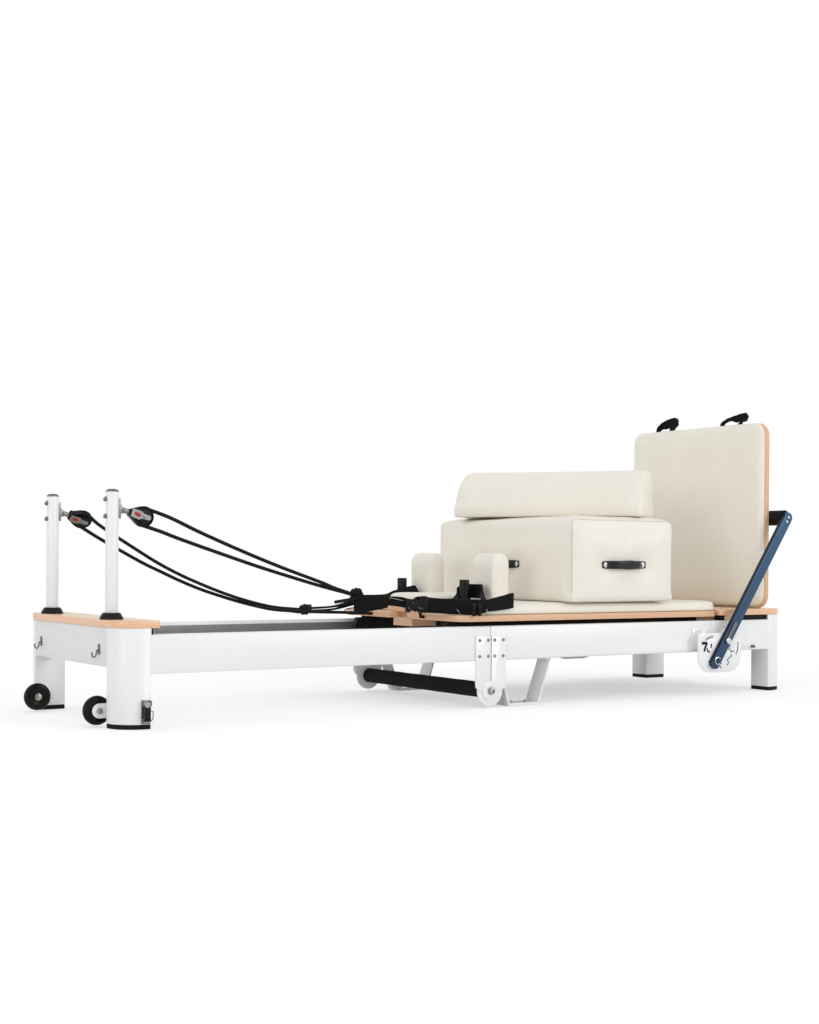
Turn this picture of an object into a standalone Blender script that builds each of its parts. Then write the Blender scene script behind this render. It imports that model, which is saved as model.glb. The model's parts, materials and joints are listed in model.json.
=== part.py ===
"""A folding pilates reformer: two half frames hinged in the middle, a rolling carriage, a footbar,
a jump board, a sitting box with a bolster on it, and two ropes over pulleys.

Metres, +Z up. X runs along the frame, from the pulley end to the foot end, and Y across it.
The origin is on the floor, at the middle of the whole object. Near is the -Y side.
"""

import bpy
import bmesh
from math import cos, pi, radians, sin, tau
from mathutils import Matrix, Vector

CLEAR = 0.0003            # gap between two pieces that touch
RUN = 0.0004              # gap round a shaft in its bore
ARC_STEPS = 6             # straight runs in a quarter round

# Frame
FRAME_WIDTH = 0.670
FOOT_HEIGHT = 0.012
RAIL_BOTTOM = 0.139
RAIL_HEIGHT = 0.100
RAIL_BOX = 0.030
RAIL_LEDGE = 0.036
LEDGE_HEIGHT = 0.024
RAIL_WALL = 0.003
RAIL_ROUND = 0.004
HEAD_RAIL = 1.0715
FOOT_RAIL = 1.1640
SPLIT_GAP = 0.001
LEG_DEPTH = 0.088
LEG_WIDTH = 0.076
LEG_ROUND = 0.070
LEG_WALL = 0.003
BEAM_DEPTH = 0.060
BEAM_HEIGHT = 0.100
DECK_RISE = 0.016
DECK_THICK = 0.019
DECK_OVERHANG = 0.0025
HEAD_DECK_REACH = 0.026
FOOT_DECK_LENGTH = 0.311

# Middle hinge
PIVOT_HEIGHT = 0.050
PLATE_WIDTH = 0.0545
PLATE_TOP_DROP = 0.0275
PLATE_THICK = 0.004
KNUCKLE_RADIUS = 0.029
EAR_RADIUS = 0.045
SHAFT_RADIUS = 0.006
SHAFT_HEAD_RADIUS = 0.011
FOAM_BAR_RADIUS = 0.0205

# Support feet beside the hinge
SUPPORT_START = 0.034
SUPPORT_TOP = 0.198
SUPPORT_SLOPE = 0.046
SUPPORT_WIDTH = 0.060
SUPPORT_THICK = 0.004
SUPPORT_INSET = 0.003

# Transport wheels, on the head legs
WHEEL_RADIUS = 0.038
WHEEL_WIDTH = 0.024
WHEEL_LIFT = 0.004
WHEEL_OUT = 0.097
WHEEL_GAP = 0.0295
AXLE_RADIUS = 0.005

# Toggle latch, on the near head leg
LATCH_WIDTH = 0.024
LATCH_EDGE = 0.002
LATCH_HEIGHT = 0.060
LATCH_BASE = 0.003
KEEPER_FROM_LEG = 0.0788
KEEPER_UP = 0.012
KEEPER_RADIUS = 0.005

# Posts and pulleys
POST_RADIUS = 0.017
POST_TOP = 0.606
POST_OUT = 0.057
POST_SPREAD = 0.2125
COLLAR_RADIUS = 0.031
COLLAR_HEIGHT = 0.017
BRACKET_HEIGHT = 0.050
BRACKET_DROP = 0.045
EYE_REACH = 0.040
EYE_DROP = 0.052
ROPE_RADIUS = 0.005
GROOVE_RADIUS = 0.0225
SHEAVE_RADIUS = 0.0275
SHEAVE_WIDTH = 0.0150
BLOCK_REACH = 0.048
CHEEK_THICK = 0.0025
CHEEK_WIDTH = 0.034
BLOCK_TILT = radians(16)
BLOCK_ROLL = {"near": radians(0), "far": radians(42)}

# Footbar
FOOTBAR_FROM_LEG = 0.2838
FOOTBAR_HEIGHT = 0.112
FOOTBAR_LENGTH = 0.572
FOOTBAR_ANGLE = radians(54.9)
LEVER_WIDTH = 0.037
LEVER_THICK = 0.014
SIDE_PLATE_OUT = 0.0275
SIDE_PLATE_THICK = 0.004
SIDE_PLATE_LENGTH = 0.195
SIDE_PLATE_HEIGHT = 0.128
SIDE_PLATE_BACK = 0.071
SIDE_PLATE_DROP = 0.039
SIDE_PLATE_ROUND = 0.055
MOUNT_THICK = 0.003
BOLT_RADIUS = 0.008
GRIP_RADIUS = 0.026
LOCK_FROM_PIVOT = 0.077

# Carriage
CARRIAGE_START = 0.1065
CARRIAGE_GAP = 0.005
CARRIAGE_RISE = 0.0135
CARRIAGE_WIDTH = 0.656
BOARD_THICK = 0.018
BOARD_ROUND = 0.045
NOTCH_WIDTH = 0.090
NOTCH_DEPTH = 0.055
PAD_THICK = 0.034
PAD_START = 0.064
ROLLER_RADIUS = 0.022
ROLLER_WIDTH = 0.018
ROLLER_INSET = 0.095
AXLE_BAR_RADIUS = 0.006
LOOP_POST_RADIUS = 0.0135
LOOP_POST_TOP = 0.372
LOOP_POST_FROM_EDGE = 0.130
SHOULDER_FROM_EDGE = 0.1945
SHOULDER_SPREAD = 0.1706
SHOULDER_WIDTH = 0.103
SHOULDER_DEPTH = 0.070
SHOULDER_TOP = 0.456
STEM_RADIUS = 0.006
STEM_SPREAD = 0.050
HEADREST_FROM_EDGE = 0.029
HEADREST_LENGTH = 0.240
HEADREST_WIDTH = 0.220
HEADREST_BOARD = 0.020
HEADREST_PAD = 0.038

# Jump board
JUMP_WIDTH = 0.636
JUMP_HEIGHT = 0.6275
JUMP_THICK = 0.018
JUMP_PAD = 0.029
JUMP_ROUND = 0.045
DOWEL_RADIUS = 0.005
DOWEL_LENGTH = 0.014
DOWEL_SPREAD = 0.400
STRAP_SPREAD = 0.167
STRAP_SPAN = 0.130
STRAP_HEIGHT = 0.021
STRAP_WIDTH = 0.022
STRAP_THICK = 0.003

# Sitting box and bolster
BOX_FROM_EDGE = 0.3995
BOX_LENGTH = 0.420
BOX_WIDTH = 0.698
BOX_HEIGHT = 0.262
BOX_ROUND = 0.022
HANDLE_LENGTH = 0.168
HANDLE_HEIGHT = 0.020
HANDLE_OUT = 0.016
HANDLE_DROP = 0.014
BOLSTER_LENGTH = 0.640
BOLSTER_WIDTH = 0.170
BOLSTER_HEIGHT = 0.152
BOLSTER_TURN = radians(-57)

# Webbing hand loops
WEB_HEIGHT = {"near": 0.036, "far": 0.024}
WEB_THICK = 0.004
WEB_TIP = 0.010
KNOT_RADIUS = 0.018

# Heights and places that follow from these
HALF = FRAME_WIDTH / 2
RAIL_TOP = RAIL_BOTTOM + RAIL_HEIGHT
LEG_TOP = RAIL_TOP + DECK_RISE
DECK_TOP = LEG_TOP + CLEAR + DECK_THICK
LEG_INNER = HALF - LEG_WIDTH
LEFT_REACH = max(WHEEL_OUT + WHEEL_RADIUS, LEG_DEPTH + DECK_OVERHANG)
SPLIT_PLACE = HEAD_RAIL + SPLIT_GAP / 2
LEG_PLACE = HEAD_RAIL + SPLIT_GAP + FOOT_RAIL + CLEAR
RIGHT_REACH = LEG_PLACE + LEG_DEPTH + DECK_OVERHANG
HEAD_X = (LEFT_REACH - RIGHT_REACH) / 2
SPLIT_X = HEAD_X + SPLIT_PLACE
FOOT_LEG_X = HEAD_X + LEG_PLACE
FOOT_DECK_X = HEAD_X + RIGHT_REACH - FOOT_DECK_LENGTH
CARRIAGE_X = SPLIT_X - CARRIAGE_START
CARRIAGE_END = FOOT_DECK_X - CARRIAGE_GAP
BOARD_BOTTOM = RAIL_TOP + CARRIAGE_RISE
BOARD_TOP = BOARD_BOTTOM + BOARD_THICK
PAD_TOP = BOARD_TOP + CLEAR + PAD_THICK
LOOP_POST_X = CARRIAGE_X + LOOP_POST_FROM_EDGE
SHOULDER_X = CARRIAGE_X + SHOULDER_FROM_EDGE
HEADREST_X = CARRIAGE_X + HEADREST_FROM_EDGE
HEADREST_END = HEADREST_X + HEADREST_LENGTH
FOOTBAR_X = FOOT_LEG_X - FOOTBAR_FROM_LEG
GRIP_X = FOOTBAR_X + FOOTBAR_LENGTH * cos(FOOTBAR_ANGLE)
GRIP_Z = FOOTBAR_HEIGHT + FOOTBAR_LENGTH * sin(FOOTBAR_ANGLE)
JUMP_BACK = GRIP_X - GRIP_RADIUS - CLEAR
JUMP_BOTTOM = DECK_TOP + CLEAR
POST_X = HEAD_X - POST_OUT
EYE_X = POST_X + EYE_REACH
EYE_Z = POST_TOP - EYE_DROP
BOX_X = CARRIAGE_X + BOX_FROM_EDGE + BOX_LENGTH / 2
BOX_BOTTOM = PAD_TOP + CLEAR
BOX_TOP = BOX_BOTTOM + BOX_HEIGHT
SIDES = (("near", -1), ("far", 1))

# Colours as red, green, blue, then roughness and metal
WHITE = ("white paint", (0.85, 0.86, 0.87), 0.35, 0.0)
WOOD = ("varnished ply", (0.87, 0.62, 0.40), 0.45, 0.0)
CREAM = ("cream leather", (0.86, 0.82, 0.74), 0.50, 0.0)
RUBBER = ("black rubber", (0.02, 0.02, 0.02), 0.80, 0.0)
FOAM = ("black foam", (0.03, 0.03, 0.03), 0.90, 0.0)
STEEL = ("bright steel", (0.60, 0.60, 0.58), 0.30, 1.0)
BLACK = ("black plastic", (0.03, 0.03, 0.03), 0.45, 0.0)
BLUE = ("blue lever paint", (0.08, 0.17, 0.28), 0.35, 0.4)
WEBBING = ("black webbing", (0.02, 0.02, 0.02), 0.90, 0.0)


def clear_scene():
    for thing in list(bpy.data.objects):
        bpy.data.objects.remove(thing, do_unlink=True)


clear_scene()
PARTS = bpy.data.collections.new("folding_pilates_reformer")
CUTTERS = bpy.data.collections.new("cutters")
bpy.context.scene.collection.children.link(PARTS)
bpy.context.scene.collection.children.link(CUTTERS)
PIVOTS = {}
MATERIALS = {}


def material(finish):
    name, colour, roughness, metal = finish
    if name not in MATERIALS:
        made = bpy.data.materials.new(name)
        made.use_nodes = True
        shader = made.node_tree.nodes["Principled BSDF"]
        shader.inputs["Base Color"].default_value = (*colour, 1.0)
        shader.inputs["Roughness"].default_value = roughness
        shader.inputs["Metallic"].default_value = metal
        MATERIALS[name] = made
    return MATERIALS[name]


def pivot(name, at, parent=None):
    """An empty on a moving group's joint axis."""
    empty = bpy.data.objects.new(name + "_pivot", None)
    empty.empty_display_size = 0.05
    PARTS.objects.link(empty)
    place = Vector(at)
    if parent:
        empty.parent = PIVOTS[parent][0]
        empty.location = place - PIVOTS[parent][1]
    else:
        empty.location = place
    PIVOTS[name] = (empty, place)


def finish(thing, name, look, group):
    """Names a piece, gives it its material and hangs it on its group's empty."""
    thing.name = name
    thing.data.name = name
    thing.data.materials.clear()
    thing.data.materials.append(material(look))
    if group:
        thing.parent = PIVOTS[group][0]
        thing.location = Vector(thing.location) - PIVOTS[group][1]
    return thing


def link(data, name, collection=None):
    thing = bpy.data.objects.new(name, data)
    (collection or PARTS).objects.link(thing)
    return thing


def mesh_object(bm, name, smooth=30):
    mesh = bpy.data.meshes.new(name)
    bm.to_mesh(mesh)
    bm.free()
    if smooth:
        mesh.shade_smooth()
        mesh.set_sharp_from_angle(angle=radians(smooth))
    return link(mesh, name)


def block(low, high, name="block", soften=0.0):
    """A box between two corners, its edges bevelled."""
    bm = bmesh.new()
    bmesh.ops.create_cube(bm, size=1.0)
    size = Vector(high) - Vector(low)
    middle = (Vector(high) + Vector(low)) / 2
    bmesh.ops.scale(bm, vec=size, verts=bm.verts)
    thing = mesh_object(bm, name, 0)
    thing.location = middle
    if soften:
        bevel = thing.modifiers.new("soft edges", "BEVEL")
        bevel.width = soften
        bevel.segments = 2
    return thing


AIM = {"X": (0, pi / 2, 0), "Y": (pi / 2, 0, 0), "Z": (0, 0, 0)}


def rod(radius, length, middle, axis="Z", sides=20, end_radius=None, name="rod"):
    """A cylinder, or a cone where end_radius is given, along X, Y or Z."""
    bm = bmesh.new()
    bmesh.ops.create_cone(
        bm, cap_ends=True, cap_tris=False, segments=sides, radius1=radius,
        radius2=radius if end_radius is None else end_radius, depth=length)
    thing = mesh_object(bm, name)
    turn = axis if not isinstance(axis, str) else AIM[axis]
    thing.rotation_euler = turn
    thing.location = middle
    return thing


def arc(cx, cy, radius, start, end, steps=ARC_STEPS):
    """Points of an arc in degrees, both ends included."""
    points = []
    for i in range(steps + 1):
        angle = radians(start + (end - start) * i / steps)
        points.append((cx + radius * cos(angle), cy + radius * sin(angle)))
    return points


def round_rect(x0, x1, y0, y1, low_left=0.0, low_right=0.0, top_right=0.0, top_left=0.0, steps=ARC_STEPS):
    """A rectangle whose corners are rounded one by one, counter-clockwise from the lower left."""
    corners = ((x0, y0, 1, 1, low_left, 180), (x1, y0, -1, 1, low_right, 270),
               (x1, y1, -1, -1, top_right, 0), (x0, y1, 1, -1, top_left, 90))
    points = []
    for x, y, sx, sy, radius, start in corners:
        if radius:
            points += arc(x + sx * radius, y + sy * radius, radius, start, start + 90, steps)
        else:
            points.append((x, y))
    return points


def circle(cx, cy, radius, sides=20):
    return arc(cx, cy, radius, 0, 360 * (sides - 1) / sides, sides - 1)


def signed_area(points):
    total = 0.0
    for (x0, y0), (x1, y1) in zip(points, points[1:] + points[:1]):
        total += x0 * y1 - x1 * y0
    return total / 2


PLANE_TURN = {"XY": (0, 0, 0), "XZ": (pi / 2, 0, 0), "YZ": (pi / 2, 0, pi / 2)}
PLANE_AXIS = {"XY": Vector((0, 0, 1)), "XZ": Vector((0, 1, 0)), "YZ": Vector((1, 0, 0))}


def plate(outline, plane, low, high, holes=(), name="plate"):
    """A flat outline in a plane of the object, thick from low to high across it."""
    curve = bpy.data.curves.new(name, "CURVE")
    curve.dimensions = "2D"
    curve.fill_mode = "BOTH"
    curve.extrude = (high - low) / 2
    for points, turn in [(outline, 1)] + [(hole, -1) for hole in holes]:
        if signed_area(points) * turn < 0:
            points = points[::-1]
        spline = curve.splines.new("POLY")
        spline.points.add(len(points) - 1)
        spline.use_cyclic_u = True
        for point, (u, v) in zip(spline.points, points):
            point.co = (u, v, 0, 1)
    thing = link(curve, name)
    thing.rotation_euler = PLANE_TURN[plane]
    thing.location = PLANE_AXIS[plane] * ((low + high) / 2)
    return thing


def tube(points, radius, name="tube", resolution=2, closed=False):
    """A round wire or rope along points."""
    curve = bpy.data.curves.new(name, "CURVE")
    curve.dimensions = "3D"
    curve.bevel_depth = radius
    curve.bevel_resolution = resolution
    curve.use_fill_caps = not closed
    curve.twist_mode = "MINIMUM"
    spline = curve.splines.new("POLY")
    spline.points.add(len(points) - 1)
    spline.use_cyclic_u = closed
    for point, place in zip(spline.points, points):
        point.co = (*place, 1)
    return link(curve, name)


def as_mesh(thing):
    """The same piece as a plain mesh object, its caps welded, which can be cut and joined."""
    bpy.context.view_layer.update()
    graph = bpy.context.evaluated_depsgraph_get()
    mesh = bpy.data.meshes.new_from_object(thing.evaluated_get(graph))
    bm = bmesh.new()
    bm.from_mesh(mesh)
    bmesh.ops.remove_doubles(bm, verts=bm.verts, dist=1e-6)
    bm.to_mesh(mesh)
    bm.free()
    made = link(mesh, thing.name)
    made.matrix_world = thing.matrix_world.copy()
    bpy.data.objects.remove(thing, do_unlink=True)
    return made


def combine(base, tools, operation):
    """Adds a Boolean for each tool; the tools become hidden guides."""
    if base.type == "CURVE":
        base = as_mesh(base)
    for tool in tools:
        if tool.type == "CURVE":
            tool = as_mesh(tool)
        for collection in list(tool.users_collection):
            collection.objects.unlink(tool)
        CUTTERS.objects.link(tool)
        tool.hide_render = True
        tool.display_type = "WIRE"
        step = base.modifiers.new(operation.lower(), "BOOLEAN")
        step.operation = operation
        step.solver = "EXACT"
        step.object = tool
    return base


def join(base, *tools):
    return combine(base, tools, "UNION")


def cut(base, *tools):
    return combine(base, tools, "DIFFERENCE")


def turned(profile, place, axis="Z", steps=24, name="turned"):
    """A turned piece: profile points (radius, height) run down its outer side."""
    bm = bmesh.new()
    verts = [bm.verts.new((r, 0, h)) for r, h in profile]
    for a, b in zip(verts, verts[1:]):
        bm.edges.new((a, b))
    thing = mesh_object(bm, name, 0)
    screw = thing.modifiers.new("turn", "SCREW")
    screw.axis = "Z"
    screw.angle = tau
    screw.steps = steps
    screw.render_steps = steps
    screw.use_merge_vertices = True
    screw.merge_threshold = 0.0001
    screw.use_smooth_shade = True
    thing.rotation_euler = AIM[axis] if isinstance(axis, str) else axis
    thing.location = place
    return thing


def inset_rect(x0, x1, y0, y1, corners, steps=ARC_STEPS):
    """A rounded rectangle as a function of how far it is drawn in; corners run from the lower left."""
    def shape(inset):
        radii = [max(corner - inset, SHARPEST) for corner in corners]
        return round_rect(x0 + inset, x1 - inset, y0 + inset, y1 - inset, *radii, steps=steps)
    return shape


SHARPEST = 0.0015


def cushion(shape, plane, base, thick, bulge, edge, crown, name="cushion"):
    """A padded slab on a flat base: sides that swell, a rolled edge and a crown on its face.

    Its face looks along the plane's axis for a positive thickness, and against it for a negative one.
    """
    way = 1 if thick > 0 else -1
    depth = abs(thick)
    rings = ((bulge, 0.0), (bulge * 0.2, 0.22), (0.0, 0.5), (bulge * 0.45, 0.74),
             (edge * 0.45, 0.90), (edge, 0.965), (edge + crown, 1.0))
    bm = bmesh.new()
    loops = []
    for inset, height in rings:
        loops.append([bm.verts.new((u, v, way * depth * height)) for u, v in shape(inset)])
    for lower, upper in zip(loops, loops[1:]):
        for i in range(len(lower)):
            j = (i + 1) % len(lower)
            bm.faces.new((lower[i], lower[j], upper[j], upper[i]))
    bm.faces.new(loops[0][::-1])
    bm.faces.new(loops[-1])
    bmesh.ops.recalc_face_normals(bm, faces=bm.faces)
    thing = mesh_object(bm, name, 60)
    thing.rotation_euler = PLANE_TURN[plane]
    thing.location = PLANE_AXIS[plane] * base
    return thing


def smooth_route(places, spacing):
    """Evenly spaced points on a smooth curve through a route's own points."""
    nodes = [Vector(p) for p in places]
    nodes = [nodes[0] * 2 - nodes[1]] + nodes + [nodes[-1] * 2 - nodes[-2]]
    fine = []
    for a, b, c, d in zip(nodes, nodes[1:], nodes[2:], nodes[3:]):
        for k in range(24):
            t = k / 24
            fine.append(((b * 2) + (c - a) * t + (a * 2 - b * 5 + c * 4 - d) * t * t
                         + (b * 3 - a - c * 3 + d) * t ** 3) / 2)
    fine.append(nodes[-2])
    total = sum((q - p).length for p, q in zip(fine, fine[1:]))
    count = max(2, round(total / spacing))
    points = [fine[0]]
    walked = 0.0
    for p, q in zip(fine, fine[1:]):
        step = (q - p).length
        while len(points) < count and walked + step >= total * len(points) / count:
            points.append(p.lerp(q, (total * len(points) / count - walked) / step))
        walked += step
    points.append(fine[-1])
    return points


def make_pivots():
    pivot("foot_half", (SPLIT_X, 0, PIVOT_HEIGHT))
    pivot("carriage", (CARRIAGE_X, 0, BOARD_BOTTOM))
    pivot("headrest", (HEADREST_END, 0, BOARD_TOP), "carriage")
    for side, sign in SIDES:
        pivot("shoulder_" + side, (SHOULDER_X, sign * SHOULDER_SPREAD, PAD_TOP), "carriage")
    pivot("box", (BOX_X, 0, BOX_BOTTOM), "carriage")
    pivot("bolster", (BOX_X, 0, BOX_TOP), "box")
    pivot("footbar", (FOOTBAR_X, 0, FOOTBAR_HEIGHT), "foot_half")
    pivot("jump_board", (JUMP_BACK, 0, JUMP_BOTTOM), "foot_half")
    for side, sign in SIDES:
        lock = lever_point(LOCK_FROM_PIVOT)
        pivot("lock_" + side, (lock[0], sign * LEVER_OUT, lock[1]), "footbar")
        pivot("swivel_" + side, (EYE_X, sign * POST_SPREAD, EYE_Z))
        centre = sheave_centre(sign)
        pivot("sheave_" + side, centre, "swivel_" + side)
        pivot("wheel_" + side, (HEAD_X - WHEEL_OUT, sign * WHEEL_Y, WHEEL_LIFT + WHEEL_RADIUS))
    pivot("latch", (LATCH_X, -HALF - LATCH_PIVOT_OUT, LATCH_PIVOT_Z))
    for end, x in (("head", ROLLER_HEAD_X), ("foot", ROLLER_FOOT_X)):
        pivot("rollers_" + end, (x, 0, ROLLER_Z), "carriage")


# Places shared by several pieces
WHEEL_Y = LEG_INNER - WHEEL_GAP - WHEEL_WIDTH / 2
LATCH_X = HEAD_X - LATCH_EDGE - LATCH_WIDTH / 2
LATCH_PIVOT_OUT = 0.0085
LATCH_PIVOT_Z = FOOT_HEIGHT + LATCH_HEIGHT - 0.006
ROLLER_HEAD_X = CARRIAGE_X + ROLLER_INSET
ROLLER_FOOT_X = CARRIAGE_END - ROLLER_INSET
ROLLER_Z = RAIL_BOTTOM + LEDGE_HEIGHT + CLEAR + ROLLER_RADIUS
ROLLER_Y = HALF - RAIL_BOX - RAIL_LEDGE / 2 - 0.002
SIDE_PLATE_INNER = HALF + SIDE_PLATE_OUT
LEVER_OUT = SIDE_PLATE_INNER + SIDE_PLATE_THICK + CLEAR
BLOCK_DIRECTION = Vector((cos(BLOCK_TILT), 0, -sin(BLOCK_TILT)))


def lever_point(along, across=0.0):
    """X and Z of a point on the footbar lever, measured from its pivot."""
    x = FOOTBAR_X + along * cos(FOOTBAR_ANGLE) - across * sin(FOOTBAR_ANGLE)
    z = FOOTBAR_HEIGHT + along * sin(FOOTBAR_ANGLE) + across * cos(FOOTBAR_ANGLE)
    return x, z


def sheave_centre(sign):
    return Vector((EYE_X, sign * POST_SPREAD, EYE_Z)) + BLOCK_DIRECTION * BLOCK_REACH


def rail_outline(sign, inset):
    """The rail's section: a tall box outside, a low ledge for the rollers inside."""
    outer = HALF - inset
    step = HALF - RAIL_BOX + inset
    inner = HALF - RAIL_BOX - RAIL_LEDGE + inset
    low = RAIL_BOTTOM + inset
    ledge = RAIL_BOTTOM + LEDGE_HEIGHT - inset
    top = RAIL_TOP - inset
    r = max(RAIL_ROUND - inset, 0.0)
    if r:
        points = arc(outer - r, low + r, r, -90, 0, 2) + arc(outer - r, top - r, r, 0, 90, 2)
    else:
        points = [(outer, low), (outer, top)]
    points += [(step, top), (step, ledge), (inner, ledge), (inner, low)]
    return [(sign * u, v) for u, v in points]


def rail(side, sign, start, end, name, group):
    made = plate(rail_outline(sign, 0.0), "YZ", start, end, [rail_outline(sign, RAIL_WALL)])
    return finish(made, name, WHITE, group)


def leg_outline(sign, inner_x, way, inset=0.0, steps=ARC_STEPS):
    """The leg's section: way is -1 where the rounded corner looks to -X."""
    r = LEG_ROUND - inset
    near, far = LEG_INNER + inset, HALF - inset
    start, end = inset, LEG_DEPTH - inset
    points = [(start, near), (end, near)] + arc(end - r, far - r, r, 0, 90, steps) + [(start, far)]
    return [(inner_x + way * x, sign * y) for x, y in points]


def leg(side, sign, inner_x, way):
    return plate(leg_outline(sign, inner_x, way), "XY", FOOT_HEIGHT + CLEAR, LEG_TOP,
                 [leg_outline(sign, inner_x, way, LEG_WALL)])


def leg_foot(side, sign, inner_x, way, name, group):
    made = plate(leg_outline(sign, inner_x, way), "XY", 0.0, FOOT_HEIGHT)
    return finish(made, name, RUBBER, group)


def wheel_bracket(sign):
    """Plate, web and stub axle that carry a transport wheel beside the leg."""
    x = HEAD_X - WHEEL_OUT
    z = WHEEL_LIFT + WHEEL_RADIUS
    outer = WHEEL_Y + WHEEL_WIDTH / 2 + 0.002
    thick = 0.004
    root = HEAD_X - LEG_DEPTH * 0.35
    flat = 0.019
    outline = arc(x, z, flat, 90, 270, 8) + [(root, z - flat), (root, z + flat)]
    low, high = sorted((sign * outer, sign * (outer + thick)))
    cheek = plate(outline, "XZ", low, high)
    low, high = sorted((sign * (outer + thick / 2), sign * (LEG_INNER + LEG_WALL / 2)))
    web = block((HEAD_X - LEG_DEPTH * 0.8, low, z - flat + 0.003), (root - 0.003, high, z + flat - 0.003))
    inner = WHEEL_Y - WHEEL_WIDTH / 2 - 0.001
    axle = rod(AXLE_RADIUS, outer - inner + thick, (x, sign * (outer + inner + thick) / 2, z), "Y", 16)
    heads = [rod(AXLE_RADIUS * 1.7, 0.004, (x, sign * y, z), "Y", 6) for y in (inner - 0.0015, outer + thick + 0.0012)]
    return cheek, web, axle, *heads


def head_legs():
    for side, sign in SIDES:
        made = join(leg(side, sign, HEAD_X, -1), *wheel_bracket(sign))
        if side == "near":
            made = join(made, *latch_base())
        finish(made, "head_leg_" + side, WHITE, None)
        leg_foot(side, sign, HEAD_X, -1, "head_foot_" + side, None)


def latch_base():
    back = -HALF - LATCH_BASE
    low = FOOT_HEIGHT + 0.002
    half = LATCH_WIDTH / 2
    base = block((LATCH_X - half, back, low), (LATCH_X + half, -HALF + 0.001, low + LATCH_HEIGHT))
    ears = []
    for way in (-1, 1):
        x = LATCH_X + way * (half - 0.0015)
        ears.append(block((x - 0.001, -HALF - LATCH_PIVOT_OUT - 0.004, LATCH_PIVOT_Z - 0.006),
                          (x + 0.001, -HALF - LATCH_BASE / 2, LATCH_PIVOT_Z + 0.006)))
    return [base] + ears


def latch_lever():
    """Lever with its barrel between the base's ears, and the wire bail on it."""
    half = LATCH_WIDTH / 2 - 0.0025 - CLEAR
    y = -HALF - LATCH_PIVOT_OUT
    barrel = rod(0.004, 2 * half, (LATCH_X, y, LATCH_PIVOT_Z), "X", 12)
    foot = LATCH_PIVOT_Z - 0.046
    lever = block((LATCH_X - half, y - 0.003, foot), (LATCH_X + half, y + 0.001, LATCH_PIVOT_Z), soften=0.0)
    wide = LATCH_WIDTH / 2 + 0.004
    bail_y = y - 0.001
    top = LATCH_PIVOT_Z - 0.020
    low = foot + 0.004
    route = [(LATCH_X + wide, bail_y, top), (LATCH_X + wide, bail_y, low + 0.005)]
    route += [(LATCH_X + wide - 0.005, bail_y - 0.004, low), (LATCH_X - wide + 0.005, bail_y - 0.004, low)]
    route += [(LATCH_X - wide, bail_y, low + 0.005), (LATCH_X - wide, bail_y, top)]
    bail = tube(route, 0.0015, resolution=1, closed=True)
    made = join(barrel, lever, bail)
    finish(made, "latch_lever", STEEL, "latch")


def transport_wheels():
    half = WHEEL_WIDTH / 2
    tyre = WHEEL_RADIUS
    bore = AXLE_RADIUS + RUN
    profile = [(bore, half * 0.6), (tyre * 0.45, half * 0.6), (tyre * 0.52, half * 0.92), (tyre * 0.80, half),
               (tyre * 0.94, half * 0.62), (tyre, 0.0), (tyre * 0.94, -half * 0.62), (tyre * 0.80, -half),
               (tyre * 0.52, -half * 0.92), (tyre * 0.45, -half * 0.6), (bore, -half * 0.6), (bore, half * 0.6)]
    for side, sign in SIDES:
        place = PIVOTS["wheel_" + side][1]
        finish(turned(profile, place, "Y", 24), "transport_wheel_" + side, BLACK, "wheel_" + side)


def end_beam(low, high, hole_inset=LEG_WALL):
    """A box section across the frame between the legs."""
    top = LEG_TOP - CLEAR
    bottom = LEG_TOP - BEAM_HEIGHT
    reach = LEG_INNER - CLEAR
    hole = round_rect(low + hole_inset, high - hole_inset, bottom + hole_inset, top - hole_inset)
    return plate(round_rect(low, high, bottom, top), "XZ", -reach, reach, [hole])


def head_end():
    outer = HEAD_X - LEG_DEPTH
    beam = end_beam(outer, outer + BEAM_DEPTH)
    hooks = []
    for side, sign in SIDES:
        y = sign * (POST_SPREAD - 0.003)
        z = LEG_TOP - 0.058
        hooks.append(block((outer - 0.0025, y - 0.006, z - 0.012), (outer + 0.001, y + 0.006, z + 0.014)))
        route = [(outer, y, z), (outer - 0.007, y, z - 0.002), (outer - 0.009, y, z - 0.014),
                 (outer - 0.014, y, z - 0.020), (outer - 0.0195, y, z - 0.016), (outer - 0.0205, y, z - 0.006)]
        hooks.append(tube(route, 0.0022, resolution=1))
    finish(join(beam, *hooks), "head_end_beam", WHITE, None)
    left = HEAD_X - LEG_DEPTH - DECK_OVERHANG
    width = HALF + DECK_OVERHANG * 0.2
    corner = LEG_ROUND + DECK_OVERHANG
    outline = round_rect(left, HEAD_X + HEAD_DECK_REACH, -width, width, corner, 0.006, 0.006, corner)
    finish(plate(outline, "XY", LEG_TOP + CLEAR, DECK_TOP), "head_deck", WOOD, None)


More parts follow.
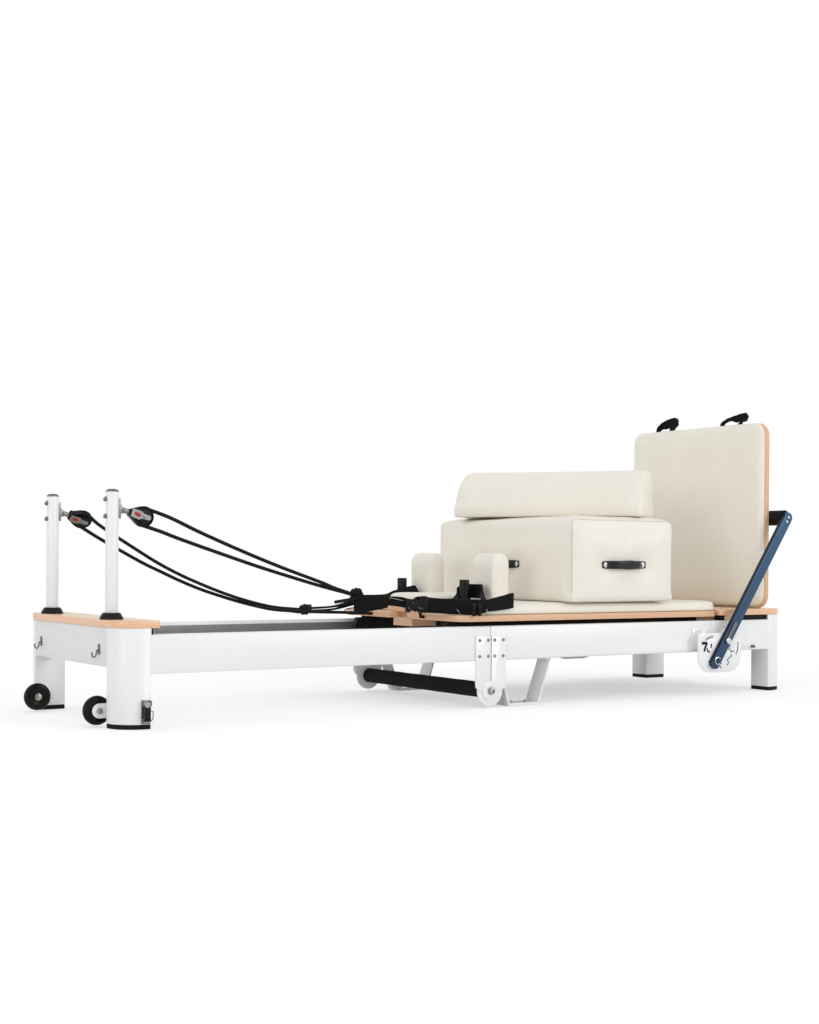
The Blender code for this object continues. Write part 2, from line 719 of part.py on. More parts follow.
def posts():
    """Each post with its domed cap, its through bolts and the pulley bracket bolted to it."""
    bottom = DECK_TOP + CLEAR
    r = POST_RADIUS
    for side, sign in SIDES:
        y = sign * POST_SPREAD
        profile = [(0.0, POST_TOP + 0.004), (r * 0.7, POST_TOP + 0.003), (r, POST_TOP), (r, bottom), (0.0, bottom)]
        post = turned(profile, (POST_X, y, 0), "Z", 24)
        face = POST_X + r
        top = POST_TOP - BRACKET_DROP + BRACKET_HEIGHT / 2
        low = top - BRACKET_HEIGHT
        strip = block((face - 0.004, y - 0.011, low), (face + 0.003, y + 0.011, top))
        web = plate([(face, top - 0.008), (face, low + 0.008), (EYE_X - 0.004, EYE_Z - 0.004),
                     (EYE_X - 0.004, EYE_Z + 0.005)], "XZ", y - 0.003, y + 0.003)
        barrel = rod(0.007, 0.014, Vector((EYE_X, y, EYE_Z)) - BLOCK_DIRECTION * 0.005,
                     (0, pi / 2 + BLOCK_TILT, 0), 14)
        socket = rod(0.004 + RUN, 0.010, Vector((EYE_X, y, EYE_Z)) - BLOCK_DIRECTION * 0.0,
                     (0, pi / 2 + BLOCK_TILT, 0), 12)
        tools = [strip, web, barrel]
        for z in (POST_TOP - BRACKET_DROP + 0.022, POST_TOP - BRACKET_DROP - 0.022):
            tools.append(rod(0.0045, 2 * r + 0.012, (POST_X, y, z), "X", 8))
        made = cut(join(post, *tools), socket)
        finish(made, "post_" + side, WHITE, None)
        inner = r + CLEAR
        flare = [(inner, COLLAR_HEIGHT), (r + 0.006, COLLAR_HEIGHT), (COLLAR_RADIUS - 0.001, 0.005),
                 (COLLAR_RADIUS, 0.0), (inner, 0.0), (inner, COLLAR_HEIGHT)]
        finish(turned(flare, (POST_X, y, bottom), "Z", 24), "post_collar_" + side, BLACK, None)


def block_frame(side, sign):
    """Turns and places a piece of a pulley block: x along the rope, y along the sheave's axle."""
    at = Matrix.Translation((EYE_X, sign * POST_SPREAD, EYE_Z))
    return at @ Matrix.Rotation(BLOCK_TILT, 4, "Y") @ Matrix.Rotation(BLOCK_ROLL[side], 4, "X")


def put(thing, matrix):
    """Moves a piece that was modelled at the world origin."""
    if thing.type == "CURVE":
        thing = as_mesh(thing)
    bpy.context.view_layer.update()
    thing.matrix_world = matrix @ thing.matrix_world
    return thing


def pulleys():
    half = SHEAVE_WIDTH / 2
    gap = half + 0.001
    bed = GROOVE_RADIUS - ROPE_RADIUS - CLEAR
    bore = 0.004 + RUN
    mouth = ROPE_RADIUS + 2 * CLEAR
    sheave = [(bore, half), (SHEAVE_RADIUS - 0.001, half), (SHEAVE_RADIUS, half - 0.001), (bed + 0.005, mouth),
              (bed + 0.0016, mouth * 0.66), (bed, 0.0), (bed + 0.0016, -mouth * 0.66), (bed + 0.005, -mouth),
              (SHEAVE_RADIUS, 0.001 - half), (SHEAVE_RADIUS - 0.001, -half), (bore, -half), (bore, half)]
    for side, sign in SIDES:
        frame = block_frame(side, sign)
        wide = CHEEK_WIDTH / 2
        outline = [(0.008, -0.009)] + arc(BLOCK_REACH, 0, wide, -90, 90, 8) + [(0.008, 0.009)]
        pieces = []
        for way in (-1, 1):
            low, high = sorted((way * gap, way * (gap + CHEEK_THICK)))
            pieces.append(plate(outline, "XZ", low, high))
        bridge = block((0.008, -gap - 0.001, -0.0085), (0.014, gap + 0.001, 0.0085))
        stem = rod(0.004, 0.014, (0.0055, 0, 0), "X", 12)
        axle = rod(0.004, 2 * (gap + CHEEK_THICK) + 0.004, (BLOCK_REACH, 0, 0), "Y", 12)
        placed = [put(piece, frame) for piece in [pieces[0], pieces[1], bridge, stem, axle]]
        finish_world(join(*placed), "pulley_block_" + side, STEEL, "swivel_" + side)
        wheel = put(turned(sheave, (BLOCK_REACH, 0, 0), "Y", 28), frame)
        finish_world(wheel, "sheave_" + side, BLACK, "sheave_" + side)


def finish_world(thing, name, look, group):
    """As finish, for a piece that is turned in space."""
    if thing.type == "CURVE":
        thing = as_mesh(thing)
    return finish(thing, name, look, group)


def hinge_outline(sign_x, gap):
    """One upper quarter of the hinge's outer layer, with a rounded lower corner."""
    inner = SPLIT_X + sign_x * gap
    outer = SPLIT_X + sign_x * (SPLIT_GAP / 2 + PLATE_WIDTH)
    low = PIVOT_HEIGHT + 0.0005
    top = RAIL_TOP - PLATE_TOP_DROP
    r = 0.022
    points = [(inner, low)] + [(outer - sign_x * (r - r * sin(a)), low + r - r * cos(a))
                               for a in [pi / 2 * i / 5 for i in range(6)]]
    return points + [(outer, top), (inner, top)]


def hinge():
    outer = HALF + CLEAR
    x, z = SPLIT_X, PIVOT_HEIGHT
    for side, sign in SIDES:
        low, high = sorted((sign * outer, sign * (outer + PLATE_THICK)))
        middle = (low + high) / 2
        bore = rod(SHAFT_RADIUS + RUN, 0.05, (x, sign * HALF, z), "Y", 20)
        leaf = plate(hinge_outline(-1, SPLIT_GAP / 2), "XZ", low, high)
        room = rod(KNUCKLE_RADIUS + RUN, 0.02, (x, sign * (outer + 0.01 - CLEAR / 2), z), "Y", 32)
        leaf = cut(leaf, room)
        neck_low, neck_high = sorted((sign * (HALF - 0.0045), sign * (HALF + CLEAR / 2)))
        neck_top = RAIL_BOTTOM - CLEAR
        neck_in = x - SPLIT_GAP / 2
        ear = join(rod(EAR_RADIUS, neck_high - neck_low, (x, (neck_low + neck_high) / 2, z), "Y", 32),
                   block((x - PLATE_WIDTH + 0.004, neck_low, z + 0.010), (neck_in, neck_high, neck_top)))
        tie_low, tie_high = sorted((sign * (HALF - 0.002), sign * (HALF + 0.002)))
        tie = block((x - PLATE_WIDTH + 0.006, tie_low, z + KNUCKLE_RADIUS + 0.004), (neck_in - 0.002, tie_high, neck_top))
        made = cut(join(leaf, ear, tie), bore)
        finish(made, "hinge_plate_head_" + side, WHITE, None)
        bore = rod(SHAFT_RADIUS + RUN, 0.05, (x, sign * HALF, z), "Y", 20)
        leaf = plate(hinge_outline(1, SPLIT_GAP / 2), "XZ", low, high)
        knuckle = rod(KNUCKLE_RADIUS, high - low, (x, middle, z), "Y", 32)
        finish(cut(join(leaf, knuckle), bore), "hinge_plate_foot_" + side, WHITE, "foot_half")
    reach = outer + PLATE_THICK + CLEAR
    shaft = rod(SHAFT_RADIUS, 2 * reach + 0.004, (x, 0, z), "Y", 20)
    heads = [rod(SHAFT_HEAD_RADIUS, 0.006, (x, sign * (reach + 0.003), z), "Y", 20) for _, sign in SIDES]
    finish(join(shaft, *heads), "hinge_shaft", STEEL, None)
    foam = rod(FOAM_BAR_RADIUS, 2 * (HALF - 0.0045 - CLEAR), (x, 0, z), "Y", 24)
    bore = rod(SHAFT_RADIUS + RUN, FRAME_WIDTH + 0.02, (x, 0, z), "Y", 20)
    finish(cut(foam, bore), "hinge_bar", FOAM, None)


def support_feet():
    """A bent steel strap under each foot rail, beside the hinge, with a rubber sole."""
    t = SUPPORT_THICK
    x0 = SPLIT_X + SUPPORT_START
    x1 = x0 + SUPPORT_TOP
    top = RAIL_BOTTOM - CLEAR
    sole = 0.004
    flange = 0.018
    lean = SUPPORT_SLOPE
    outline = [(x0 - t, top), (x0 + lean - t, 0.0), (x1 - lean + t, 0.0), (x1 + t, top),
               (x1 - flange, top), (x1 - flange, top - t), (x1 - t * 0.3, top - t),
               (x1 - lean - t * 0.2, sole + t), (x0 + lean + t * 0.2, sole + t), (x0 + t * 0.3, top - t),
               (x0 + flange, top - t), (x0 + flange, top)]
    for side, sign in SIDES:
        edge = HALF - SUPPORT_INSET - 0.005
        low, high = sorted((sign * (edge - SUPPORT_WIDTH), sign * edge))
        finish(plate(outline, "XZ", low, high), "support_foot_" + side, WHITE, "foot_half")


def rails():
    for side, sign in SIDES:
        rail(side, sign, HEAD_X + CLEAR, HEAD_X + HEAD_RAIL, "head_rail_" + side, None)
        start = HEAD_X + HEAD_RAIL + SPLIT_GAP
        made = plate(rail_outline(sign, 0.0), "YZ", start, start + FOOT_RAIL, [rail_outline(sign, RAIL_WALL)])
        stud = rod(KEEPER_RADIUS, 0.016, (FOOT_LEG_X - KEEPER_FROM_LEG, sign * (HALF + 0.005),
                                          RAIL_BOTTOM + KEEPER_UP), "Y", 12)
        finish(join(made, stud), "foot_rail_" + side, WHITE, "foot_half")


def foot_end():
    for side, sign in SIDES:
        finish(leg(side, sign, FOOT_LEG_X, 1), "foot_leg_" + side, WHITE, "foot_half")
        leg_foot(side, sign, FOOT_LEG_X, 1, "foot_foot_" + side, "foot_half")
    outer = FOOT_LEG_X + LEG_DEPTH
    face = outer - BEAM_DEPTH
    beam = end_beam(face, outer)
    hooks = []
    for i in range(5):
        y = SPRING_PITCH * (i - 2)
        z = SPRING_Z
        hooks.append(rod(0.004, 0.030, (face - 0.013, y, z), "X", 8))
        hooks.append(rod(0.008, 0.003, (face - 0.0275, y, z), "X", 12))
    finish(join(beam, *hooks), "foot_end_beam", WHITE, "foot_half")
    right = outer + DECK_OVERHANG
    width = HALF + DECK_OVERHANG * 0.2
    corner = LEG_ROUND + DECK_OVERHANG
    outline = round_rect(FOOT_DECK_X, right, -width, width, 0.012, corner, corner, 0.012)
    middle = JUMP_BACK - JUMP_THICK / 2
    holes = [circle(middle, sign * DOWEL_SPREAD / 2, DOWEL_RADIUS + RUN, 12) for _, sign in SIDES]
    deck = plate(outline, "XY", LEG_TOP + CLEAR, DECK_TOP, holes)
    batten = block((FOOT_DECK_X + 0.020, -HALF + 0.004, RAIL_TOP + CLEAR),
                   (FOOT_DECK_X + 0.060, HALF - 0.004, LEG_TOP + 0.002))
    finish(join(deck, batten), "foot_deck", WOOD, "foot_half")


SPRING_PITCH = 0.045
SPRING_Z = RAIL_TOP - 0.030
SPRING_RADIUS = 0.0095


def footbar_plates():
    """Side plate stood off the rail on a bracket, with the bolt that the lever turns on."""
    x0 = FOOTBAR_X - SIDE_PLATE_BACK
    x1 = x0 + SIDE_PLATE_LENGTH
    z0 = FOOTBAR_HEIGHT - SIDE_PLATE_DROP
    z1 = z0 + SIDE_PLATE_HEIGHT
    low_round = SIDE_PLATE_ROUND
    outline = round_rect(x0, x1, z0, z1, low_round, low_round, 0.018, 0.018, 5)
    swing = []
    radius = LOCK_FROM_PIVOT
    for start, end in ((6, 34), (92, 128)):
        swing.append(arc(FOOTBAR_X, FOOTBAR_HEIGHT, radius + 0.004, start, end, 4)
                     + arc(FOOTBAR_X, FOOTBAR_HEIGHT, radius - 0.004, end, start, 4))
    for side, sign in SIDES:
        low, high = sorted((sign * SIDE_PLATE_INNER, sign * (SIDE_PLATE_INNER + SIDE_PLATE_THICK)))
        face = plate(outline, "XZ", low, high, swing)
        base_low = RAIL_BOTTOM + 0.008
        base_high = RAIL_TOP - 0.024
        low, high = sorted((sign * (HALF + CLEAR), sign * (HALF + MOUNT_THICK)))
        base = block((x0 + 0.002, low, base_low), (x1 - 0.030, high, base_high))
        low, high = sorted((sign * (HALF + MOUNT_THICK / 2), sign * (SIDE_PLATE_INNER + SIDE_PLATE_THICK / 2)))
        web = block((x0 + 0.022, low, base_low + 0.004), (x0 + 0.034, high, base_high - 0.004))
        web_two = block((x1 - 0.062, low, base_low + 0.004), (x1 - 0.050, high, base_high - 0.004))
        outer = LEVER_OUT + LEVER_THICK + CLEAR
        stud_from = SIDE_PLATE_INNER + SIDE_PLATE_THICK / 2
        stud = rod(BOLT_RADIUS, outer + 0.002 - stud_from,
                   (FOOTBAR_X, sign * (outer + 0.002 + stud_from) / 2, FOOTBAR_HEIGHT), "Y", 16)
        head = rod(BOLT_RADIUS + 0.005, 0.004, (FOOTBAR_X, sign * (outer + 0.002), FOOTBAR_HEIGHT), "Y", 16)
        made = join(face, base, web, web_two, stud, head)
        finish(made, "footbar_plate_" + side, WHITE, "foot_half")


def lever_outline():
    """The lever's side view: a bar with a rounded top and a cut-off foot."""
    half = LEVER_WIDTH / 2
    foot = -0.026
    chamfer = 0.009
    points = [(foot, half - chamfer), (foot, -half + chamfer), (foot + chamfer, -half)]
    points += arc(FOOTBAR_LENGTH, 0, half, -90, 90, 8)
    points += [(foot + chamfer, half)]
    return [lever_point(along, across) for along, across in points]


def slot(start, end, half):
    """A round-ended slot along the lever."""
    points = arc(end, 0, half, -90, 90, 4) + arc(start, 0, half, 90, 270, 4)
    return [lever_point(along, across) for along, across in points]


def footbar():
    turn = (0, -FOOTBAR_ANGLE, 0)
    bore = [lever_point(*p) for p in circle(0, 0, BOLT_RADIUS + RUN, 16)]
    travel = 0.016
    lock_slot = slot(LOCK_FROM_PIVOT, LOCK_FROM_PIVOT + travel, 0.0048)
    for side, sign in SIDES:
        low, high = sorted((sign * LEVER_OUT, sign * (LEVER_OUT + LEVER_THICK)))
        finish(plate(lever_outline(), "XZ", low, high, [bore, lock_slot]), "footbar_lever_" + side, BLUE, "footbar")
        outer = LEVER_OUT + LEVER_THICK + CLEAR
        x, z = lever_point(LOCK_FROM_PIVOT)
        pin = rod(0.004, LEVER_THICK + 0.002, (x, sign * (LEVER_OUT + LEVER_THICK / 2 + 0.0015), z), "Y", 12)
        knob = rod(0.010, 0.009, (x, sign * (outer + 0.0045), z), "Y", 16)
        sx, sz = lever_point(LOCK_FROM_PIVOT + 0.038)
        strip = block((-0.034, -0.0012, -0.0065), (0.034, 0.0012, 0.0065))
        strip.rotation_euler = turn
        strip.location = (sx, sign * (outer + 0.0012), sz)
        finish(join(knob, pin, strip), "footbar_lock_" + side, STEEL, "lock_" + side)
    reach = LEVER_OUT - CLEAR
    finish(rod(GRIP_RADIUS, 2 * reach, (GRIP_X, 0, GRIP_Z), "Y", 24), "footbar_grip", FOAM, "footbar")


def strap_arch(centre_y, span, height, thick, base):
    """A webbing loop standing on an edge: a band bent up and over."""
    def band(offset):
        points = []
        for i in range(9):
            angle = pi - pi * i / 8
            points.append((centre_y + (span / 2 - offset) * cos(angle),
                           base + (height - offset) * sin(angle) ** 0.8 if 0 < i < 8 else base - 0.004))
        return points
    return band(0.0) + band(thick)[::-1]


def jump_board():
    front = JUMP_BACK - JUMP_THICK
    half = JUMP_WIDTH / 2
    top = JUMP_BOTTOM + JUMP_HEIGHT
    r = JUMP_ROUND
    board = plate(round_rect(-half, half, JUMP_BOTTOM, top, r, r, r, r), "YZ", front, JUMP_BACK)
    tools = []
    middle = JUMP_BACK - JUMP_THICK / 2
    for side, sign in SIDES:
        outline = strap_arch(sign * STRAP_SPREAD, STRAP_SPAN, STRAP_HEIGHT, STRAP_THICK, top)
        tools.append(plate(outline, "YZ", middle - STRAP_WIDTH / 2, middle + STRAP_WIDTH / 2))
        tools.append(rod(DOWEL_RADIUS, DOWEL_LENGTH + 0.010,
                         (middle, sign * DOWEL_SPREAD / 2, JUMP_BOTTOM + 0.005 - DOWEL_LENGTH / 2), "Z", 12))
    finish(join(board, *tools), "jump_board", WOOD, "jump_board")
    inset = 0.005
    shape = inset_rect(-half + inset, half - inset, JUMP_BOTTOM + 0.004, top - inset, (r, r, r, r), 5)
    pad = cushion(shape, "YZ", front - CLEAR, -JUMP_PAD, 0.003, 0.018, 0.050)
    finish(pad, "jump_pad", CREAM, "jump_board")


def board_outline(inset=0.0):
    """The carriage board seen from above, with its finger notch at the head end."""
    half = CARRIAGE_WIDTH / 2 - inset
    left, right = CARRIAGE_X + inset, CARRIAGE_END - inset
    corner = BOARD_ROUND
    notch = NOTCH_WIDTH / 2
    small = 0.012
    points = arc(left + corner, -half + corner, corner, 180, 270) + arc(right - 0.03, -half + 0.03, 0.03, 270, 360)
    points += arc(right - 0.03, half - 0.03, 0.03, 0, 90) + arc(left + corner, half - corner, corner, 90, 180)
    points += arc(left + small, notch + small, small, 180, 270, 3)
    points += arc(left + NOTCH_DEPTH - small, notch - small, small, 90, 0, 3)
    points += arc(left + NOTCH_DEPTH - small, -notch + small, small, 0, -90, 3)
    points += arc(left + small, -notch - small, small, 90, 180, 3)
    return points


def stem_places(sign):
    x = SHOULDER_X + SHOULDER_DEPTH / 2
    return [(x, sign * SHOULDER_SPREAD + way * STEM_SPREAD / 2) for way in (-1, 1)]


def carriage():
    holes = []
    for side, sign in SIDES:
        holes.append(circle(LOOP_POST_X, sign * SHOULDER_SPREAD, LOOP_POST_RADIUS + RUN, 16))
        holes += [circle(x, y, STEM_RADIUS + RUN, 12) for x, y in stem_places(sign)]
    board = plate(board_outline(), "XY", BOARD_BOTTOM, BOARD_TOP, holes)
    prop = block((CARRIAGE_X + 0.020, -0.052, BOARD_BOTTOM - 0.024), (CARRIAGE_X + 0.110, 0.052, BOARD_BOTTOM + 0.001))
    finish(join(board, prop), "carriage_board", WOOD, "carriage")
    carriage_pad()
    chassis()
    rollers()
    springs()


def carriage_pad():
    """The main pad, cut out round the headrest and drilled for the posts and the shoulder rests' stems."""
    half = CARRIAGE_WIDTH / 2 - 0.002
    left, right = CARRIAGE_X + PAD_START, CARRIAGE_END
    room = HEADREST_WIDTH / 2 + 0.005
    end = HEADREST_END + 0.027
    corner, small = 0.030, 0.010

    def shape(inset):
        r, q = max(corner - inset, SHARPEST), max(small - inset, SHARPEST)
        x0, x1, y1, arm = left + inset, right - inset, half - inset, room + inset
        points = arc(x0 + r, -y1 + r, r, 180, 270, 5) + arc(x1 - r, -y1 + r, r, 270, 360, 5)
        points += arc(x1 - r, y1 - r, r, 0, 90, 5) + arc(x0 + r, y1 - r, r, 90, 180, 5)
        points += arc(x0 + q, arm + q, q, 180, 270, 3)
        points += arc(end - small, room - small, small + inset, 90, 0, 3)
        points += arc(end - small, small - room, small + inset, 0, -90, 3)
        return points + arc(x0 + q, -arm - q, q, 90, 180, 3)

    pad = cushion(shape, "XY", BOARD_TOP + CLEAR, PAD_THICK, 0.002, 0.010, 0.006)
    middle = BOARD_TOP + PAD_THICK / 2
    drills = []
    for side, sign in SIDES:
        drills.append(rod(LOOP_POST_RADIUS + RUN, 0.1, (LOOP_POST_X, sign * SHOULDER_SPREAD, middle), "Z", 16))
        drills += [rod(STEM_RADIUS + RUN, 0.1, (x, y, middle), "Z", 12) for x, y in stem_places(sign)]
    finish(cut(pad, *drills), "carriage_pad", CREAM, "carriage")


def chassis():
    """Steel under-frame: two runners, cross bars, the rollers' bores and the two loop posts."""
    top = BOARD_BOTTOM - CLEAR
    low = ROLLER_Z - 0.014
    x0, x1 = CARRIAGE_X + 0.030, CARRIAGE_END - 0.030
    inner = HALF - RAIL_BOX - RAIL_LEDGE - 0.034
    outer = inner + 0.022
    bars = []
    for side, sign in SIDES:
        a, b = sorted((sign * inner, sign * outer))
        bars.append(block((x0, a, low), (x1, b, top)))
        bars.append(rod(LOOP_POST_RADIUS, LOOP_POST_TOP - low - 0.02,
                        (LOOP_POST_X, sign * SHOULDER_SPREAD, (LOOP_POST_TOP + low + 0.02) / 2), "Z", 16))
    for x in (LOOP_POST_X, CARRIAGE_END - 0.055, SPRING_ANCHOR_X):
        bars.append(block((x - 0.016, -inner - 0.002, top - 0.020), (x + 0.016, inner + 0.002, top)))
    drills = [rod(AXLE_BAR_RADIUS + RUN, FRAME_WIDTH, (x, 0, ROLLER_Z), "Y", 16)
              for x in (ROLLER_HEAD_X, ROLLER_FOOT_X)]
    finish(cut(join(*bars), *drills), "carriage_chassis", BLACK, "carriage")


def rollers():
    """Each axle with its two rollers, which run on the rails' ledges."""
    for end, x in (("head", ROLLER_HEAD_X), ("foot", ROLLER_FOOT_X)):
        axle = rod(AXLE_BAR_RADIUS, 2 * ROLLER_Y + ROLLER_WIDTH - 0.004, (x, 0, ROLLER_Z), "Y", 16)
        wheels = [rod(ROLLER_RADIUS, ROLLER_WIDTH, (x, sign * ROLLER_Y, ROLLER_Z), "Y", 24) for _, sign in SIDES]
        finish(join(axle, *wheels), "carriage_rollers_" + end, RUBBER, "rollers_" + end)


SPRING_ANCHOR_X = CARRIAGE_X + 0.42
SPRING_LENGTH = 0.46


def springs():
    """Five springs stowed under the board, hooked on one bar."""
    z = BOARD_BOTTOM - 0.034
    bar = block((SPRING_ANCHOR_X - 0.012, -0.110, z - 0.006), (SPRING_ANCHOR_X + 0.012, 0.110, BOARD_BOTTOM - 0.0203 - CLEAR))
    coils = [rod(SPRING_RADIUS, SPRING_LENGTH, (SPRING_ANCHOR_X + SPRING_LENGTH / 2 + 0.006, SPRING_PITCH * (i - 2), z),
                 "X", 10) for i in range(5)]
    finish(join(bar, *coils), "spring_set", STEEL, "carriage")


def headrest():
    half = HEADREST_WIDTH / 2
    r = 0.030
    corners = (r, 0.008, 0.008, r)
    outline = round_rect(HEADREST_X, HEADREST_END, -half, half, *corners)
    low = BOARD_TOP + CLEAR
    top = low + HEADREST_BOARD
    finish(plate(outline, "XY", low, top), "headrest_board", WOOD, "headrest")
    shape = inset_rect(HEADREST_X, HEADREST_END, -half, half, corners)
    pad = cushion(shape, "XY", top + CLEAR, HEADREST_PAD, 0.002, 0.012, 0.022)
    finish(pad, "headrest_pad", CREAM, "headrest")


def shoulder_rests():
    """Arched blocks with two stems each, plugged through the pad and the board."""
    bottom = PAD_TOP + CLEAR
    depth, width = SHOULDER_DEPTH, SHOULDER_WIDTH
    r = depth / 2
    for side, sign in SIDES:
        middle = SHOULDER_X + r
        outline = [(SHOULDER_X + 0.001, bottom), (SHOULDER_X + depth - 0.001, bottom)]
        outline += arc(middle, SHOULDER_TOP - r, r, 0, 180, 12)
        edge = sign * SHOULDER_SPREAD - width / 2
        body = arch_pad(outline, edge, edge + width)
        stems = [rod(STEM_RADIUS, bottom + 0.012 - (BOARD_BOTTOM - 0.010),
                     (x, y, (bottom + 0.012 + BOARD_BOTTOM - 0.010) / 2), "Z", 12) for x, y in stem_places(sign)]
        finish(join(body, *stems), "shoulder_rest_" + side, CREAM, "shoulder_" + side)


def arch_pad(outline, low, high):
    """An upholstered block: the outline's sides roll in at both ends."""
    bm = bmesh.new()
    middle = sum(u for u, _ in outline) / len(outline)
    base = min(v for _, v in outline)
    span = high - low
    loops = []
    for share, scale in ((0.0, 0.90), (0.035, 0.97), (0.12, 1.0), (0.88, 1.0), (0.965, 0.97), (1.0, 0.90)):
        loops.append([bm.verts.new((middle + (u - middle) * scale, low + span * share,
                                    base + (v - base) * (0.35 + 0.65 * scale) if v > base else v))
                      for u, v in outline])
    for lower, upper in zip(loops, loops[1:]):
        for i in range(len(lower)):
            j = (i + 1) % len(lower)
            bm.faces.new((lower[i], upper[i], upper[j], lower[j]))
    bm.faces.new(loops[0])
    bm.faces.new(loops[-1][::-1])
    bmesh.ops.recalc_face_normals(bm, faces=bm.faces)
    return mesh_object(bm, "arch", 50)


def sitting_box():
    """A padded box whose faces swell, with a strap handle screwed to each side."""
    half = Vector((BOX_LENGTH / 2, BOX_WIDTH / 2, BOX_HEIGHT / 2))
    bm = bmesh.new()
    bmesh.ops.create_cube(bm, size=2.0)
    bmesh.ops.subdivide_edges(bm, edges=bm.edges, cuts=3, use_grid_fill=True)
    swell = 0.006
    for vert in bm.verts:
        x, y, z = vert.co
        edge = [abs(c) > 0.99 for c in (x, y, z)]
        spread = Vector([c * 1.55 if abs(c) < 0.9 else c for c in (x, y, z)])
        place = Vector((spread.x * half.x, spread.y * half.y, spread.z * half.z))
        if sum(edge) == 1:
            for i in range(3):
                if edge[i] and not (i == 2 and z < 0):
                    place[i] += swell * (1 if vert.co[i] > 0 else -1)
        vert.co = place
    bmesh.ops.recalc_face_normals(bm, faces=bm.faces)
    body = mesh_object(bm, "box", 0)
    body.location = (BOX_X, 0, BOX_BOTTOM + half.z)
    rounding = body.modifiers.new("rolled edges", "BEVEL")
    rounding.width = BOX_ROUND
    rounding.segments = 3
    rounding.limit_method = "ANGLE"
    rounding.angle_limit = radians(40)
    handles = []
    z = BOX_BOTTOM + half.z - HANDLE_DROP
    for axis, way, reach in (("Y", -1, half.y), ("Y", 1, half.y), ("X", -1, half.x), ("X", 1, half.x)):
        face = reach + swell - 0.002
        outer = face + HANDLE_OUT
        mid = HANDLE_LENGTH / 2
        points = [(-mid, face - 0.004), (-mid, face + 0.004), (-mid + 0.020, face + 0.004),
                  (-mid + 0.030, outer), (mid - 0.030, outer), (mid - 0.020, face + 0.004), (mid, face + 0.004),
                  (mid, face - 0.004), (mid - 0.022, face - 0.004), (mid - 0.022, face + 0.001),
                  (mid - 0.032, outer - 0.003), (-mid + 0.032, outer - 0.003), (-mid + 0.022, face + 0.001),
                  (-mid + 0.022, face - 0.004)]
        if axis == "Y":
            outline = [(BOX_X + u, way * v) for u, v in points]
        else:
            outline = [(BOX_X + way * v, u) for u, v in points]
        handles.append(plate(outline, "XY", z - HANDLE_HEIGHT / 2, z + HANDLE_HEIGHT / 2))
    finish(join(body, *handles), "sitting_box", CREAM, "box")


def bolster():
    """A half-moon bolster: flat below and behind, its face rounded over, laid slantwise on the box."""
    width, height = BOLSTER_WIDTH, BOLSTER_HEIGHT
    section = [(0.006, 0.0), (0.0, 0.010), (0.0, 0.030), (0.012, 0.068), (0.040, 0.108), (0.078, 0.136),
               (0.118, 0.149), (0.148, 0.149), (0.163, 0.135), (0.169, 0.105), (0.170, 0.060), (0.167, 0.014),
               (0.160, 0.0)]
    shape = [(u / 0.170 * width, v / 0.149 * height) for u, v in section]
    middle = width / 2
    bm = bmesh.new()
    loops = []
    for along, scale in ((0.0, 0.86), (0.010, 0.95), (0.035, 1.0), (0.965, 1.0), (0.990, 0.95), (1.0, 0.86)):
        x = (along - 0.5) * BOLSTER_LENGTH
        loops.append([bm.verts.new((x, (u - middle) * scale, v * scale if v > 0 else 0.0)) for u, v in shape])
    for lower, upper in zip(loops, loops[1:]):
        for i in range(len(lower)):
            j = (i + 1) % len(lower)
            bm.faces.new((lower[i], upper[i], upper[j], lower[j]))
    bm.faces.new(loops[0])
    bm.faces.new(loops[-1][::-1])
    bmesh.ops.recalc_face_normals(bm, faces=bm.faces)
    made = mesh_object(bm, "bolster", 50)
    made.rotation_euler = (0, 0, BOLSTER_TURN)
    made.location = (BOX_X, 0, BOX_TOP + 0.006 + CLEAR)
    finish(made, "bolster", CREAM, "bolster")


def rope_route(side, sign):
    """The rope from its knot up to the sheave, round it, and back down to the carriage board's edge."""
    frame = block_frame(side, sign)
    knot = Vector(KNOT_PLACE[side])
    knot.y *= sign
    start, end, runs = ROPE_WRAP[side][0], ROPE_WRAP[side][1], 7
    reach = GROOVE_RADIUS / cos(radians((end - start) / runs / 2))
    wrap = [frame @ Vector((BLOCK_REACH + u, 0, v)) for u, v in arc(0, 0, reach, start, end, runs)]
    lead = 0.030
    a, b = radians(start), radians(end)
    above = Vector((BLOCK_REACH + reach * cos(a) + lead * sin(a), 0, reach * sin(a) - lead * cos(a)))
    below = Vector((BLOCK_REACH + reach * cos(b) - lead * sin(b), 0, reach * sin(b) + lead * cos(b)))
    up = [Vector((x, sign * y, z)) for x, y, z in ROPE_TOP[side]] + [frame @ above]
    down = [frame @ below] + [Vector((x, sign * y, z)) for x, y, z in ROPE_LOW[side]]
    first = knot - Vector((KNOT_RADIUS + CLEAR, 0, 0))
    last = Vector((CARRIAGE_X - CLEAR, sign * ROPE_END_Y, BOARD_BOTTOM + BOARD_THICK / 2))
    straight = Vector((2 * ROPE_RADIUS, 0, 0))
    going = [first] + smooth_route([first - straight] + up + [wrap[0]], 0.030)
    coming = smooth_route([wrap[-1]] + down + [last - straight], 0.030) + [last]
    return going[:-1] + wrap + coming[1:]


def ropes():
    for side, sign in SIDES:
        finish(tube(rope_route(side, sign), ROPE_RADIUS), "rope_" + side, WEBBING, None)


